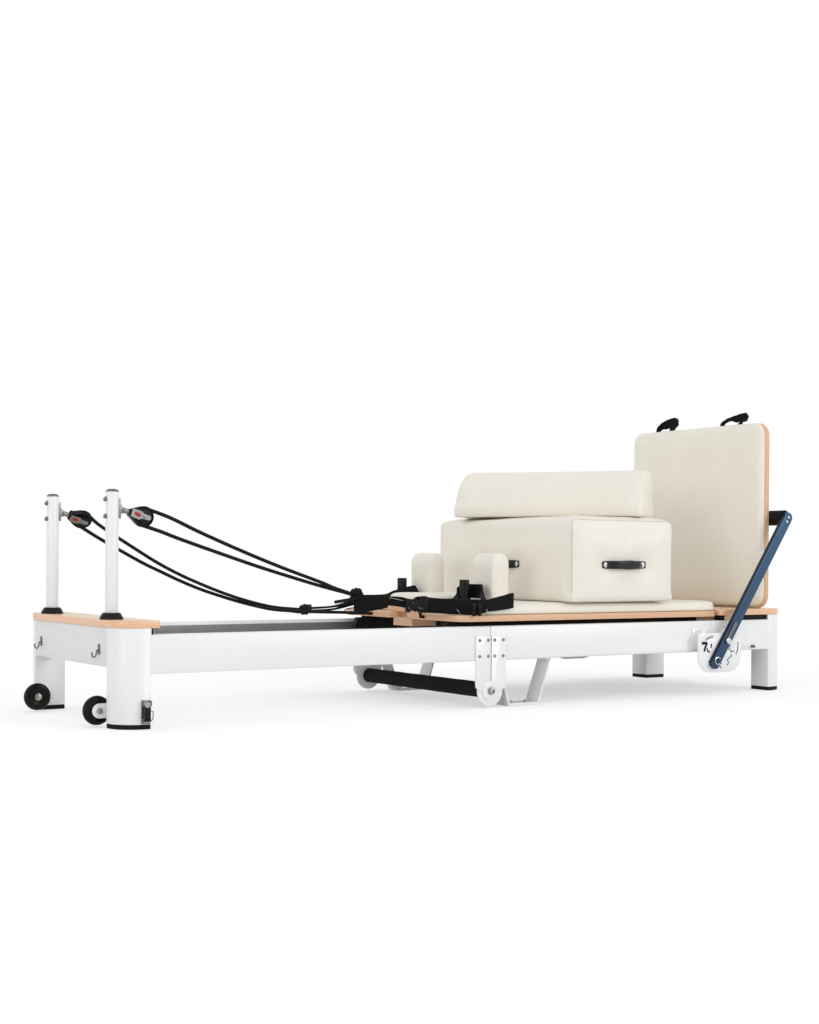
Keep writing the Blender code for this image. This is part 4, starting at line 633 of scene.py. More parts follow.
class Finish(Nodes):
    """A material under construction."""

    def __init__(self, name):
        self.material = bpy.data.materials.new(name)
        self.material.use_nodes = True
        super().__init__(self.material.node_tree)
        self.shader = self.tree.nodes["Principled BSDF"]

    def coordinates(self, scale=(1, 1, 1), turn=(0, 0, 0)):
        where = self.add("TexCoord").outputs["Object"]
        return self.add("Mapping", {"Vector": where, "Scale": scale, "Rotation": turn}).outputs["Vector"]

    def surface(self, turn=0.0):
        where = self.add("UVMap", uv_map="surface").outputs["UV"]
        return self.add("Mapping", {"Vector": where, "Rotation": (0, 0, turn)}).outputs["Vector"]

    def bands(self, vector, pitch, axis, **inputs):
        """Waves across one axis, a pitch apart."""
        inputs = {key.replace("_", " "): value for key, value in inputs.items()}
        return self.add("TexWave", {"Vector": vector, "Scale": tau / 20 / pitch, **inputs}, wave_type="BANDS",
                        bands_direction=axis, wave_profile="SIN").outputs["Fac"]

    def noise(self, vector, scale, detail=2.0, rough=0.5, twist=0.0):
        return self.add("TexNoise", {"Vector": vector, "Scale": scale, "Detail": detail, "Roughness": rough,
                                     "Distortion": twist}).outputs["Fac"]

    def mix(self, share, a, b):
        a, b = ((*tone, 1.0) if isinstance(tone, (tuple, list)) and len(tone) == 3 else tone
                for tone in (a, b))
        return self.add("Mix", {0: share, 6: a, 7: b}, data_type="RGBA").outputs[2]

    def spread(self, value, low, high, to_low=0.0, to_high=1.0):
        return self.add("MapRange", {"Value": value, "From Min": low, "From Max": high, "To Min": to_low,
                                     "To Max": to_high}).outputs["Result"]

    def math(self, kind, a, b=0.0):
        return self.add("Math", {0: a, 1: b}, operation=kind).outputs[0]

    def bump(self, height, strength, distance, normal=None):
        inputs = {"Height": height, "Strength": strength, "Distance": distance}
        if normal is not None:
            inputs["Normal"] = normal
        return self.add("Bump", inputs).outputs["Normal"]

    def done(self, colour, rough, normal=None, **constants):
        if isinstance(colour, (tuple, list)):
            colour = (*colour[:3], 1.0)
        constants.update(Base_Color=colour, Roughness=rough)
        if normal is not None:
            constants["Normal"] = normal
        for key, value in constants.items():
            self.put(self.shader.inputs[key.replace("_", " ")], value)
        return self.material


def scaled(colour, by):
    return tuple(min(c * by, 1.0) for c in colour[:3])


def paint_finish(looks, name="white_paint", rough=0.34, shade=1.0):
    f = Finish(name)
    where = f.coordinates()
    tone = f.mix(f.spread(f.noise(where, 5.0, 3), 0.35, 0.65), scaled(looks.paint, 0.985 * shade),
                 scaled(looks.paint, shade))
    peel = f.bump(f.noise(where, 650.0, 2), 0.05, 0.0004)
    soft = f.bump(f.noise(where, 18.0, 2), 0.03, 0.002, peel)
    return f.done(tone, f.spread(f.noise(where, 30.0, 3), 0.3, 0.7, rough * 0.88, rough * 1.12), soft)


def leather_finish(looks, name="cream_leather", shade=1.0):
    f = Finish(name)
    where = f.coordinates()
    cloud = f.spread(f.noise(where, 7.0, 4, 0.6), 0.38, 0.66, 0.0, 0.30)
    fine = f.spread(f.noise(where, 160.0, 3, 0.6), 0.3, 0.7, 0.0, 0.12)
    tone = f.mix(f.math("ADD", cloud, fine), scaled(looks.leather, shade), scaled(looks.leather_shade, shade))
    pebbles = f.add("TexVoronoi", {"Vector": where, "Scale": 1.0 / looks.grain},
                    feature="F1").outputs["Distance"]
    grain = f.bump(pebbles, looks.grain_depth, 0.0004)
    creases = f.bump(f.noise(where, 55.0, 4, 0.6, 0.6), 0.10, 0.0018, grain)
    folds = f.bump(f.noise(where, 11.0, 2), 0.10, 0.006, creases)
    rough = f.spread(f.noise(where, 45.0, 3), 0.3, 0.7, 0.40, 0.52)
    return f.done(tone, rough, folds, Sheen_Weight=0.05, Sheen_Roughness=0.4)


def ply_finish(looks, name, across="Z", along="X", edge=1.0, coat=0.12):
    """Varnished ply: across is the axis through its layers, along the way of the face grain."""
    f = Finish(name)
    stretch = {"X": (1.2, 26, 26), "Y": (26, 1.2, 26), "Z": (26, 26, 1.2)}[along]
    grain = f.noise(f.coordinates(stretch), 2.4, 5, 0.62, 0.7)
    fibre = f.noise(f.coordinates(tuple(s * 5 for s in stretch)), 3.0, 3, 0.6)
    face = f.mix(f.spread(grain, 0.34, 0.68), scaled(looks.ply_face, 1.04), scaled(looks.ply_face, 0.80))
    face = f.mix(f.spread(fibre, 0.45, 0.75, 0.0, 0.35), face, scaled(looks.ply_face, 0.70))
    layers = f.bands(f.coordinates(), looks.ply_layer, across, Distortion=0.6, Detail=1.0, Detail_Scale=3.0)
    cut = f.mix(f.spread(layers, 0.2, 0.8), scaled(looks.ply_edge, 0.90 * edge),
                scaled(looks.ply_edge, 1.16 * edge))
    cut = f.mix(f.spread(fibre, 0.4, 0.8, 0.0, 0.4), cut, scaled(looks.ply_edge, 0.72 * edge))
    normal = f.add("SeparateXYZ", {"Vector": f.add("NewGeometry").outputs["Normal"]}).outputs[across]
    side = f.spread(f.math("ABSOLUTE", normal), 0.55, 0.85)
    tone = f.mix(side, cut, face)
    skin = f.bump(grain, 0.06, 0.0008, f.bump(fibre, 0.08, 0.0003))
    return f.done(tone, f.spread(grain, 0.3, 0.7, 0.36, 0.48), skin, Coat_Weight=coat, Coat_Roughness=0.22)


def black_finish(name, colour, rough, scale=900.0, depth=0.12, gloss=0.12):
    """Moulded plastic or rubber: a fine spark-eroded surface and slow changes of gloss."""
    f = Finish(name)
    where = f.coordinates()
    tone = f.mix(f.spread(f.noise(where, 24.0, 3), 0.35, 0.7), scaled(colour, 0.8), scaled(colour, 1.5))
    skin = f.bump(f.noise(where, scale, 3), depth, 0.0003)
    dull = f.spread(f.noise(where, 60.0, 2), 0.3, 0.7, rough * 0.88, min(rough * 1.12, 1))
    return f.done(tone, dull, skin, Specular_IOR_Level=gloss)


def foam_finish():
    """Closed-cell foam: open pores on a matt skin."""
    f = Finish("black_foam")
    where = f.coordinates()
    cells = f.add("TexVoronoi", {"Vector": where, "Scale": 850.0}, feature="F1").outputs["Distance"]
    tone = f.mix(f.spread(cells, 0.1, 0.6), (0.005, 0.005, 0.005), (0.013, 0.013, 0.0125))
    dents = f.bump(f.noise(where, 40.0, 3), 0.12, 0.0012, f.bump(cells, 0.35, 0.0004))
    return f.done(tone, 0.86, dents, Sheen_Weight=0.02, Specular_IOR_Level=0.10)


def metal_finish(name, colour, rough=0.30, metal=1.0):
    """Plated metal with faint scratches and dulled patches."""
    f = Finish(name)
    where = f.coordinates()
    tone = f.mix(f.spread(f.noise(where, 70.0, 4), 0.35, 0.7), scaled(colour, 0.95), scaled(colour, 1.04))
    skin = f.bump(f.noise(where, 900.0, 2), 0.04, 0.0002)
    dull = f.spread(f.noise(where, 45.0, 3), 0.3, 0.7, rough * 0.9, rough * 1.15)
    return f.done(tone, dull, skin, Metallic=metal)


def webbing_finish(looks, pitch=0.0016):
    """Flat woven strap: a rib across it and a fine rib along it, read from its own UV map."""
    f = Finish("black_webbing")
    weave = f.math("MULTIPLY", f.bands(f.surface(), pitch, "X"), f.bands(f.surface(), pitch * 1.7, "Y"))
    worn = f.noise(f.coordinates(), 60.0, 3)
    tone = f.mix(f.spread(weave, 0.0, 1.0), scaled(looks.webbing, 0.7), scaled(looks.webbing, 1.9))
    tone = f.mix(f.spread(worn, 0.5, 0.8, 0.0, 0.2), tone, (0.022, 0.022, 0.023))
    return f.done(tone, 0.78, f.bump(weave, 0.5, 0.0004), Sheen_Weight=0.02, Specular_IOR_Level=0.12)


def braid_finish(looks, pitch=0.0055):
    """Round braided rope: two families of strands that cross, read from its own UV map."""
    f = Finish("black_braid")
    crossed = f.math("MAXIMUM", *[f.bands(f.surface(turn * radians(38)), pitch, "X") for turn in (1, -1)])
    fibre = f.noise(f.coordinates(), 900.0, 3)
    tone = f.mix(f.spread(crossed, 0.3, 1.0), scaled(looks.webbing, 0.5), scaled(looks.webbing, 1.7))
    tone = f.mix(f.spread(fibre, 0.5, 0.8, 0.0, 0.25), tone, (0.020, 0.020, 0.021))
    skin = f.bump(fibre, 0.2, 0.0002, f.bump(crossed, 0.8, 0.0009))
    return f.done(tone, 0.70, skin, Sheen_Weight=0.02, Specular_IOR_Level=0.16)


def lever_finish(looks, name="blue_lever", shade=1.0):
    """Metallic blue with painted shade low down and a painted highlight towards the grip."""
    f = Finish(name)
    brushed = f.noise(f.coordinates((3, 60, 3), (0, LEVER_TURN, 0)), 12.0, 3)
    where = f.coordinates()
    # Painted shade and highlight: the blue is darker low down and lighter high up, set by height alone.
    height = f.add("SeparateXYZ", {"Vector": where}).outputs["Z"]
    base = f.mix(f.spread(height, 0.15, 0.62), scaled(looks.lever, 0.72 * shade),
                 scaled(looks.lever, 1.30 * shade))
    tone = f.mix(f.spread(f.noise(where, 9.0, 3), 0.35, 0.65, 0.0, 0.25), base, scaled(looks.lever, shade))
    skin = f.bump(f.noise(where, 700.0, 2), 0.06, 0.0003)
    return f.done(tone, f.spread(brushed, 0.3, 0.7, 0.30, 0.42), skin, Metallic=0.35, Specular_IOR_Level=0.3)


FINISHES = {}


def look(name):
    """A finish by its name, made the first time that it is asked for."""
    if name not in FINISHES:
        looks = bpy.context.scene.reformer_looks
        FINISHES[name] = {
            "paint": lambda: paint_finish(looks),
            "leather": lambda: leather_finish(looks),
            # Painted shade: the welt is darker than the leather so that it reads as the shaded groove of a
            # seam.
            "seam": lambda: black_finish(
                "seam_shade", scaled(looks.leather_shade, 0.62), 0.6, 1500.0, 0.3, 0.3),
            "ply": lambda: ply_finish(looks, "ply_flat", "Z", "X"),
            "ply_across": lambda: ply_finish(looks, "ply_decks", "Z", "Y", 1.14, 0.35),
            "ply_upright": lambda: ply_finish(looks, "ply_upright", "X", "Z"),
            "rubber": lambda: black_finish("black_rubber", (0.007, 0.007, 0.007), 0.62, 500.0, 0.2),
            "tyre": lambda: black_finish("black_tyre", (0.003, 0.003, 0.0032), 0.15, 300.0, 0.03, 0.16),
            "red": lambda: black_finish("red_mark", (0.36, 0.010, 0.012), 0.35, 900.0, 0.05, 0.30),
            "plastic": lambda: black_finish(
                "black_plastic", (0.008, 0.008, 0.0085), 0.38, 1200.0, 0.15, 0.14),
            "frame_black": lambda: black_finish("black_steel", (0.011, 0.011, 0.011), 0.5, 700.0, 0.15, 0.14),
            "foam": foam_finish,
            "steel": lambda: metal_finish("bright_steel", tuple(looks.steel)),
            "wire": lambda: metal_finish("spring_wire", scaled(looks.steel, 0.85), 0.26),
            "brass": lambda: metal_finish("plated_hub", (0.46, 0.42, 0.30), 0.34),
            "webbing": lambda: webbing_finish(looks),
            "braid": lambda: braid_finish(looks),
            "lever": lambda: lever_finish(looks),
            # Painted shade: a darker copy of the blue for the lever's narrow side that faces away from the
            # key light.
            "lever_painted_shade": lambda: lever_finish(looks, "blue_lever_shade", 0.22),
            # Painted shade: the same white paint made darker for the head end beam, which faces away from the
            # key light.
            "beam": lambda: paint_finish(looks, "beam_paint", 0.40, 0.87),
            "board_leather": lambda: leather_finish(looks, "board_leather", 1.0),
            "plate": lambda: paint_finish(looks, "plate_paint", 0.20),
            "dark_steel": lambda: metal_finish("dark_steel", scaled(looks.steel, 0.45), 0.34),
            "bracket": lambda: metal_finish("bracket_steel", scaled(looks.steel, 0.72), 0.36),
            "chrome": lambda: metal_finish("chrome_washer", scaled(looks.steel, 1.9), 0.16),
            # Grey track: partly the aluminium's own colour, partly painted shade for the shaded channel
            # inside the rail.
            "track": lambda: metal_finish("rail_track", (0.20, 0.205, 0.21), 0.45, 0.4),
            "handle": lambda: black_finish("handle_strap", (0.007, 0.007, 0.0075), 0.30, 420.0, 0.2, 0.30),
        }[name]()
    return FINISHES[name]


# Repeats made with Geometry Nodes
def new_tree(name, inputs):
    """An empty geometry tree with named inputs: (name, socket type, default)."""
    tree = bpy.data.node_groups.new(name, "GeometryNodeTree")
    tree.interface.new_socket("Geometry", in_out="INPUT", socket_type="NodeSocketGeometry")
    for label, kind, default in inputs:
        socket = tree.interface.new_socket(label, in_out="INPUT", socket_type="NodeSocket" + kind)
        if default is not None:
            socket.default_value = default
    tree.interface.new_socket("Geometry", in_out="OUTPUT", socket_type="NodeSocketGeometry")
    return Nodes(tree), tree.nodes.new("NodeGroupInput").outputs


def ended(nodes, geometry, entry):
    """Ends a tree in Realize Instances and Set Material."""
    real = nodes.add("GeometryNodeRealizeInstances", {0: geometry})
    paint = nodes.add("GeometryNodeSetMaterial", {"Geometry": real.outputs[0], "Material": entry["Finish"]})
    nodes.add("NodeGroupOutput", {"Geometry": paint.outputs[0]})
    return nodes.tree


def fitting_tree():
    """A fitting set on each point of a mesh, its top turned to the point's own aim."""
    nodes, entry = new_tree("fittings_on_points", (
        ("Fitting", "Object", None), ("Size", "Float", 1.0), ("Seed", "Int", 7),
        ("Finish", "Material", None)))
    aim = nodes.add("GeometryNodeInputNamedAttribute", {"Name": "aim"}, data_type="FLOAT_VECTOR")
    align = nodes.add("FunctionNodeAlignRotationToVector", {"Vector": aim.outputs["Attribute"]}, axis="Z")
    turn = nodes.add("FunctionNodeRandomValue", {0: (0, 0, 0), 1: (0, 0, tau), "Seed": entry["Seed"]},
                     data_type="FLOAT_VECTOR")
    spin = nodes.add("FunctionNodeRotateRotation",
                     {"Rotation": align.outputs[0], "Rotate By": turn.outputs[0]}, rotation_space="LOCAL")
    part = nodes.add("GeometryNodeObjectInfo", {"Object": entry["Fitting"]})
    size = nodes.add("CombineXYZ", {axis: entry["Size"] for axis in "XYZ"})
    place = nodes.add("GeometryNodeInstanceOnPoints", {
        "Points": entry["Geometry"], "Instance": part.outputs["Geometry"], "Rotation": spin.outputs[0],
        "Scale": size.outputs[0]})
    return ended(nodes, place.outputs[0], entry)


def coil_tree():
    """Coil springs side by side along X, with their measures as inputs."""
    nodes, entry = new_tree("coil_springs", (
        ("Coil Radius", "Float", 0.008), ("Wire Radius", "Float", 0.001), ("Turns", "Float", 80.0),
        ("Length", "Float", 0.4), ("Spacing", "Float", 0.045), ("Count", "Int", 5),
        ("Start", "Vector", (0, 0, 0)), ("Finish", "Material", None)))
    spiral = nodes.add("GeometryNodeCurveSpiral", {
        "Resolution": 12, "Rotations": entry["Turns"], "Start Radius": entry["Coil Radius"],
        "End Radius": entry["Coil Radius"], "Height": entry["Length"]})
    section = nodes.add("GeometryNodeCurvePrimitiveCircle", {"Resolution": 6, "Radius": entry["Wire Radius"]})
    skin = nodes.add("GeometryNodeCurveToMesh", {
        "Curve": spiral.outputs[0], "Profile Curve": section.outputs[0], "Fill Caps": True})
    lay = nodes.add("GeometryNodeTransform", {"Rotation": (0, pi / 2, 0), "Geometry": skin.outputs[0]})
    step = nodes.add("CombineXYZ", {"Y": entry["Spacing"]})
    row = nodes.add("GeometryNodeMeshLine", {
        "Count": entry["Count"], "Start Location": entry["Start"], "Offset": step.outputs[0]}, mode="OFFSET")
    place = nodes.add("GeometryNodeInstanceOnPoints", {"Points": row.outputs[0], "Instance": lay.outputs[0]})
    return ended(nodes, place.outputs[0], entry)


def through_tree(thing, tree, values):
    """Runs a mesh through a tree and returns the plain mesh that it makes."""
    step = thing.modifiers.new("repeat", "NODES")
    step.node_group = tree
    for item in tree.interface.items_tree:
        if item.in_out == "INPUT" and item.name in values:
            step[item.identifier] = values[item.name]
    made = baked(thing)
    if not made.data.polygons:
        raise RuntimeError(thing.name + ": its tree made no faces")
    return made


TREES = {}
FITTINGS = {}


def headed(profile, name):
    """A head of one unit in radius through (radius, height, hexagonal) rings, closed at both ends."""
    bm = bmesh.new()
    steps = 18
    turns = [tau * i / steps for i in range(steps)]
    rings = []
    for r, h, hexagonal in profile:
        reaches = [r * cos(pi / 6) / cos((a % (pi / 3)) - pi / 6) if hexagonal else r for a in turns]
        rings.append([bm.verts.new((reach * cos(a), reach * sin(a), h)) for a, reach in zip(turns, reaches)])
    for a, b in zip(rings, rings[1:]):
        for i in range(steps):
            bm.faces.new((a[i], a[(i + 1) % steps], b[(i + 1) % steps], b[i]))
    bm.faces.new(rings[0][::-1])
    bm.faces.new(rings[-1])
    bmesh.ops.recalc_face_normals(bm, faces=bm.faces)
    return from_bm(bm, name, 30)


def socket_screw():
    """A button-head screw with a hexagon socket."""
    return headed(((1.0, 0.0, 0), (1.0, 0.18, 0), (0.86, 0.42, 0), (0.60, 0.52, 0), (0.46, 0.52, 1),
                   (0.44, 0.12, 1)), "socket_screw")


def bolt_head():
    """A hexagon bolt head on its washer."""
    flats = 0.74 * 1.08
    return headed(((1.0, 0.0, 0), (1.0, 0.14, 0), (flats, 0.14, 1), (flats, 0.62, 1), (0.62, 0.70, 0)),
                  "bolt_head")


def washer():
    """A plain washer with a broken edge, one unit in radius."""
    return turned([(0.0, 0.0), (1.0, 0.0), (1.0, 0.08), (0.92, 0.16), (0.0, 0.16)], "washer", 32, sharp=30)


def fittings(name, body, kind, points, aims, size, finish, seed=7):
    """Screws, bolts or the like set on points of one body."""
    if "fittings" not in TREES:
        TREES["fittings"] = fitting_tree()
    if kind not in FITTINGS:
        FITTINGS[kind] = {"screw": socket_screw, "bolt": bolt_head, "washer": washer}[kind]()
    mesh = bpy.data.meshes.new(name)
    mesh.from_pydata([tuple(p) for p in points], [], [])
    layer = mesh.attributes.new("aim", "FLOAT_VECTOR", "POINT")
    layer.data.foreach_set("vector", np.array([tuple(a) for a in aims], np.float32).ravel())
    made = through_tree(named(mesh, name), TREES["fittings"], {
        "Fitting": FITTINGS[kind], "Size": size, "Seed": seed, "Finish": look(finish)})
    smooth_shaded(made.data, 30)
    return finished(made, name, body, look(finish))


def clear_templates():
    for thing in FITTINGS.values():
        bpy.data.objects.remove(thing, do_unlink=True)
    FITTINGS.clear()


# Pads
def pad_ready(thing, name, body, node=None, finish="leather"):
    finished(thing, name, body, look(finish), (node,) if node else ())
    return thing


def piping(host, points, name, body, radius, finish="leather"):
    """A welt along a seam of a pad."""
    return finished(seam_on(host, points, name, radius), name, body, look(finish))


def drilled(thing, holes):
    """Cuts round holes down through a pad: each is (x, y, radius)."""
    low = min(v.co.z for v in thing.data.vertices) - 0.02
    high = max(v.co.z for v in thing.data.vertices) + 0.02
    cutters = joined([turned([(0, low), (r, low), (r, high), (0, high)], "drill", 20,
                             Matrix.Translation((x, y, 0)))
                      for x, y, r in holes], "drills")
    set_up(thing.modifiers.new("drilled", "BOOLEAN"), operation="DIFFERENCE", solver="EXACT", object=cutters)
    made = baked(thing, 60)
    bpy.data.objects.remove(cutters, do_unlink=True)
    return made


def stem_places(sign):
    x = SHOULDER_X + 0.035
    return [(x, sign * SHOULDER_Y + way * 0.025) for way in (-1, 1)]


def ring(centre, radius, wire_radius, normal, name):
    """A closed round ring of wire."""
    turn = Vector((0, 0, 1)).rotation_difference(Vector(normal)).to_matrix().to_4x4()
    profile = [(radius + wire_radius * cos(tau * k / 10), wire_radius * sin(tau * k / 10)) for k in range(10)]
    return turned(profile, name, 32, Matrix.Translation(centre) @ turn, closed=True, sharp=180)


# Groups of pieces
class REFORMER_OT_frame(bpy.types.Operator):
    """Paint the rails, legs and end beams, and give the feet their rubber"""

    bl_idname = "reformer.frame"
    bl_label = "Frame"

    def execute(self, context):
        steel = look("dark_steel")
        outside = (lambda p: p.y < -HALF - 0.0001, steel)
        axle = (lambda p: Vector((p.x - WHEEL_X, p.z - WHEEL_Z)).length < 0.0105, look("steel"), 0.0003)
        for side, _ in SIDES:
            for end in ("head", "foot"):
                softened(f"{end}_foot_{side}", look("rubber"), 0.0016)
            softened("head_rail_" + side, look("paint"), 0.0007)
            softened("foot_rail_" + side, look("paint"), 0.0007,
                     [(lambda p: abs(p.y) > HALF + 0.0001, steel)])
            softened("head_leg_" + side, look("paint"), 0.0007, [axle, outside])
            softened("foot_leg_" + side, look("paint"), 0.0007)
        # Painted shade: the head end beam takes the darker copy of the white paint.
        softened("head_end_beam", look("beam"), 0.0007, [(lambda p: p.x < HEAD_X - 0.0883, steel)])
        softened("foot_end_beam", look("paint"), 0.0007, [(lambda p: p.x < FOOT_LEG_X + 0.0275, steel)])
        for side, sign in SIDES:
            # A black rubber stop at the rail's end; it also fills the gap under the head deck, as painted
            # shade for that gap.
            block = bar((HEAD_X + 0.0008, sign * 0.320 - 0.013, RAIL_TOP),
                        (HEAD_X + 0.006, sign * 0.320 + 0.013, 0.255), 0.0008, "block")
            finished(block, "rail_stop_" + side, "head_frame", look("rubber"))
            # Painted shade: a black strip fills the gap between the rail and the foot deck, standing in for
            # the shade there.
            strip = bar((0.922, sign * 0.315 - 0.015, RAIL_TOP - 0.0002),
                        (1.139, sign * 0.315 + 0.015, 0.2545), 0.0010, "strip")
            finished(strip, "deck_bearer_" + side, "foot_frame", look("rubber"))
            # Thin grey strips on the rails' inner faces: aluminium track, made dark as painted shade for the
            # channel.
            inner = HALF - 0.0304
            for end, body, x0, x1 in (("head", "head_frame", HEAD_X + 0.006, SPLIT_X - 0.001),
                                      ("foot", "foot_frame", SPLIT_X + 0.001, FOOT_LEG_X - 0.002)):
                track = bar((x0, sign * inner - 0.0004, 0.2045), (x1, sign * inner + 0.0004, 0.2290), 0.0003,
                            "track")
                finished(track, f"rail_track_{end}_{side}", body, look("track"))
            seals = [bar((SPLIT_X - 0.0004, sign * 0.3175 - 0.0175, 0.139),
                         (SPLIT_X + 0.0004, sign * 0.3175 + 0.0175, 0.239), 0.0, "seal"),
                     bar((SPLIT_X - 0.0009, sign * 0.3375 - 0.0021, 0.078),
                         (SPLIT_X + 0.0009, sign * 0.3375 + 0.0021, 0.2115), 0.0, "seal")]
            finished(joined(seals, "seals"), "hinge_seal_" + side, "head_frame", look("rubber"))
        return {"FINISHED"}


class REFORMER_OT_decks(bpy.types.Operator):
    """Varnish the two fixed platforms"""

    bl_idname = "reformer.decks"
    bl_label = "Decks"

    def execute(self, context):
        softened("head_deck", look("ply_across"), 0.0014)
        softened("foot_deck", look("ply_across"), 0.0014)
        return {"FINISHED"}


class REFORMER_OT_posts(bpy.types.Operator):
    """Finish the pulley posts with their caps, bolts, brackets and collars"""

    bl_idname = "reformer.posts"
    bl_label = "Pulley posts"

    def execute(self, context):
        for side, sign in SIDES:
            y = sign * POST_Y
            grey = look("bracket")
            softened("post_" + side, look("paint"), 0.0004, [
                (lambda p: p.x < POST_X - 0.0172, look("dark_steel")),
                (lambda p: p.x > POST_X + 0.0172, grey),
                (lambda p: p.x > POST_X + 0.0158 and 0.530 < p.z < 0.592, grey),
                (lambda p: p.z > 0.6055, look("plastic"))], 50)
            softened("post_collar_" + side, look("plastic"), 0.0012, (), 50)
            dome = [(0.0, 0.6106), (0.006, 0.6104), (0.0112, 0.6097), (0.0146, 0.6081), (0.0166, 0.6061),
                    (0.0173, 0.6044), (0.0173, 0.6034), (0.0, 0.6034)]
            cap = turned(dome, "cap", 48, Matrix.Translation((POST_X, y, 0)), sharp=50)
            finished(cap, "post_cap_" + side, "head_frame", look("plastic"))
            heights = (BRACKET_Z + 0.0235, BRACKET_Z - 0.0205)
            fittings("post_bolts_" + side, "head_frame", "bolt", [(POST_X - 0.0172, y, z) for z in heights],
                     [(-1, 0, 0)] * 2, 0.0070, "bracket", 3)
        return {"FINISHED"}


class REFORMER_OT_pulleys(bpy.types.Operator):
    """Make the grooved sheaves and finish the blocks that carry them"""

    bl_idname = "reformer.pulleys"
    bl_label = "Pulleys"

    def execute(self, context):
        half = 0.0075
        bed = GROOVE - 0.0053
        profile = [(0.0044, half * 0.9), (0.0085, half * 0.98), (0.0095, half * 0.80), (0.0240, half * 0.80),
                   (0.0252, half), (0.0270, half), (0.0275, half * 0.86), (0.0245, 0.0056),
                   (bed + 0.0016, 0.0037), (bed + 0.0004, 0.0018), (bed, 0.0)]
        profile += [(r, -h) for r, h in profile[-2::-1]]
        for side, sign in SIDES:
            place = block_frame(side, sign)
            into = place.inverted()
            softened("pulley_block_" + side, look("plastic"), 0.0005, [
                (lambda p: (into @ p).x < 0.0075, look("bracket")),
                (lambda p: Vector(((into @ p).x - SHEAVE_REACH, (into @ p).z)).length < 0.0052,
                 look("bracket"), 0.0002)])
            body = BODY_OF["pulley_block_" + side]

            def set_on(thing, name, finish):
                thing.data.transform(place)
                finished(thing, name + side, body, look(finish))

            badge = [(0.0100, -0.0100), (0.0330, -0.0125), (0.0430, -0.0070), (0.0630, -0.0062),
                     (0.0660, 0.0000), (0.0630, 0.0058), (0.0450, 0.0062), (0.0360, 0.0108), (0.0100, 0.0110)]
            leaves = [layered(lambda inset: badge, "XZ", [(0, way * 0.0108), (0, way * 0.0118)], "leaf", 30)
                      for way in (-1, 1)]
            set_on(joined(leaves, "leaves"), "pulley_plate_", "bracket")
            shell = [(0.006, -0.008), (0.006, 0.008)] + arc(SHEAVE_REACH, 0, 0.0278, 119.8, 240.2, 14)
            set_on(layered(lambda inset: shell, "XZ", [(0, -0.0080), (0, 0.0080)], "web", 30),
                   "pulley_web_", "plastic")
            oval = Matrix.Rotation(radians(-12), 4, "Z") @ Matrix.Diagonal((1.75, 1, 1, 1))
            marks = [turned([(0, 0), (0.0056, 0), (0.0050, 0.0004), (0, 0.0005)], "mark", 24,
                            Matrix.Translation((0.027, way * 0.0117, 0))
                            @ Matrix.Rotation(-way * pi / 2, 4, "X") @ oval) for way in (-1, 1)]
            set_on(joined(marks, "marks"), "pulley_mark_", "red")
            axle = place @ Matrix.Translation((SHEAVE_REACH, 0, 0)) @ ACROSS
            wheel = turned(profile, "sheave", 72, axle, closed=True, sharp=35)
            finished(wheel, "sheave_" + side + "_finish", "sheave_" + side, look("tyre"),
                     ("sheave_" + side,))
        return {"FINISHED"}


class REFORMER_OT_wheels(bpy.types.Operator):
    """Make the transport wheels: glossy tyre and plated bearing"""

    bl_idname = "reformer.wheels"
    bl_label = "Transport wheels"

    def execute(self, context):
        for side, _ in SIDES:
            body = BODY_OF["transport_wheel_" + side]
            low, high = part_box("transport_wheel_" + side)
            place = Matrix.Translation((WHEEL_X, (low.y + high.y) / 2, WHEEL_Z)) @ ACROSS
            half = 0.012
            tyre = [(0.0110, half * 0.70), (0.0135, half * 0.84), (0.0190, half * 0.95), (0.0250, half),
                    (0.0305, half * 0.95), (0.0345, half * 0.80), (0.0370, half * 0.52),
                    (0.0379, half * 0.22), (0.0380, 0.0)]
            tyre += [(r, -h) for r, h in tyre[-2::-1]]
            rim = turned(tyre, "tyre", 64, place, closed=True, sharp=40)
            finished(rim, "wheel_tyre_" + side, body, look("tyre"),
                     ("transport_wheel_" + side,))
            bearing = [(0.0055, half * 0.86), (0.0102, half * 0.86), (0.0109, half * 0.76)]
            bearing += [(r, -h) for r, h in bearing[::-1]]
            race = turned(bearing, "bearing", 48, place, closed=True, sharp=40)
            finished(race, "wheel_bearing_" + side, body, look("brass"))
        return {"FINISHED"}


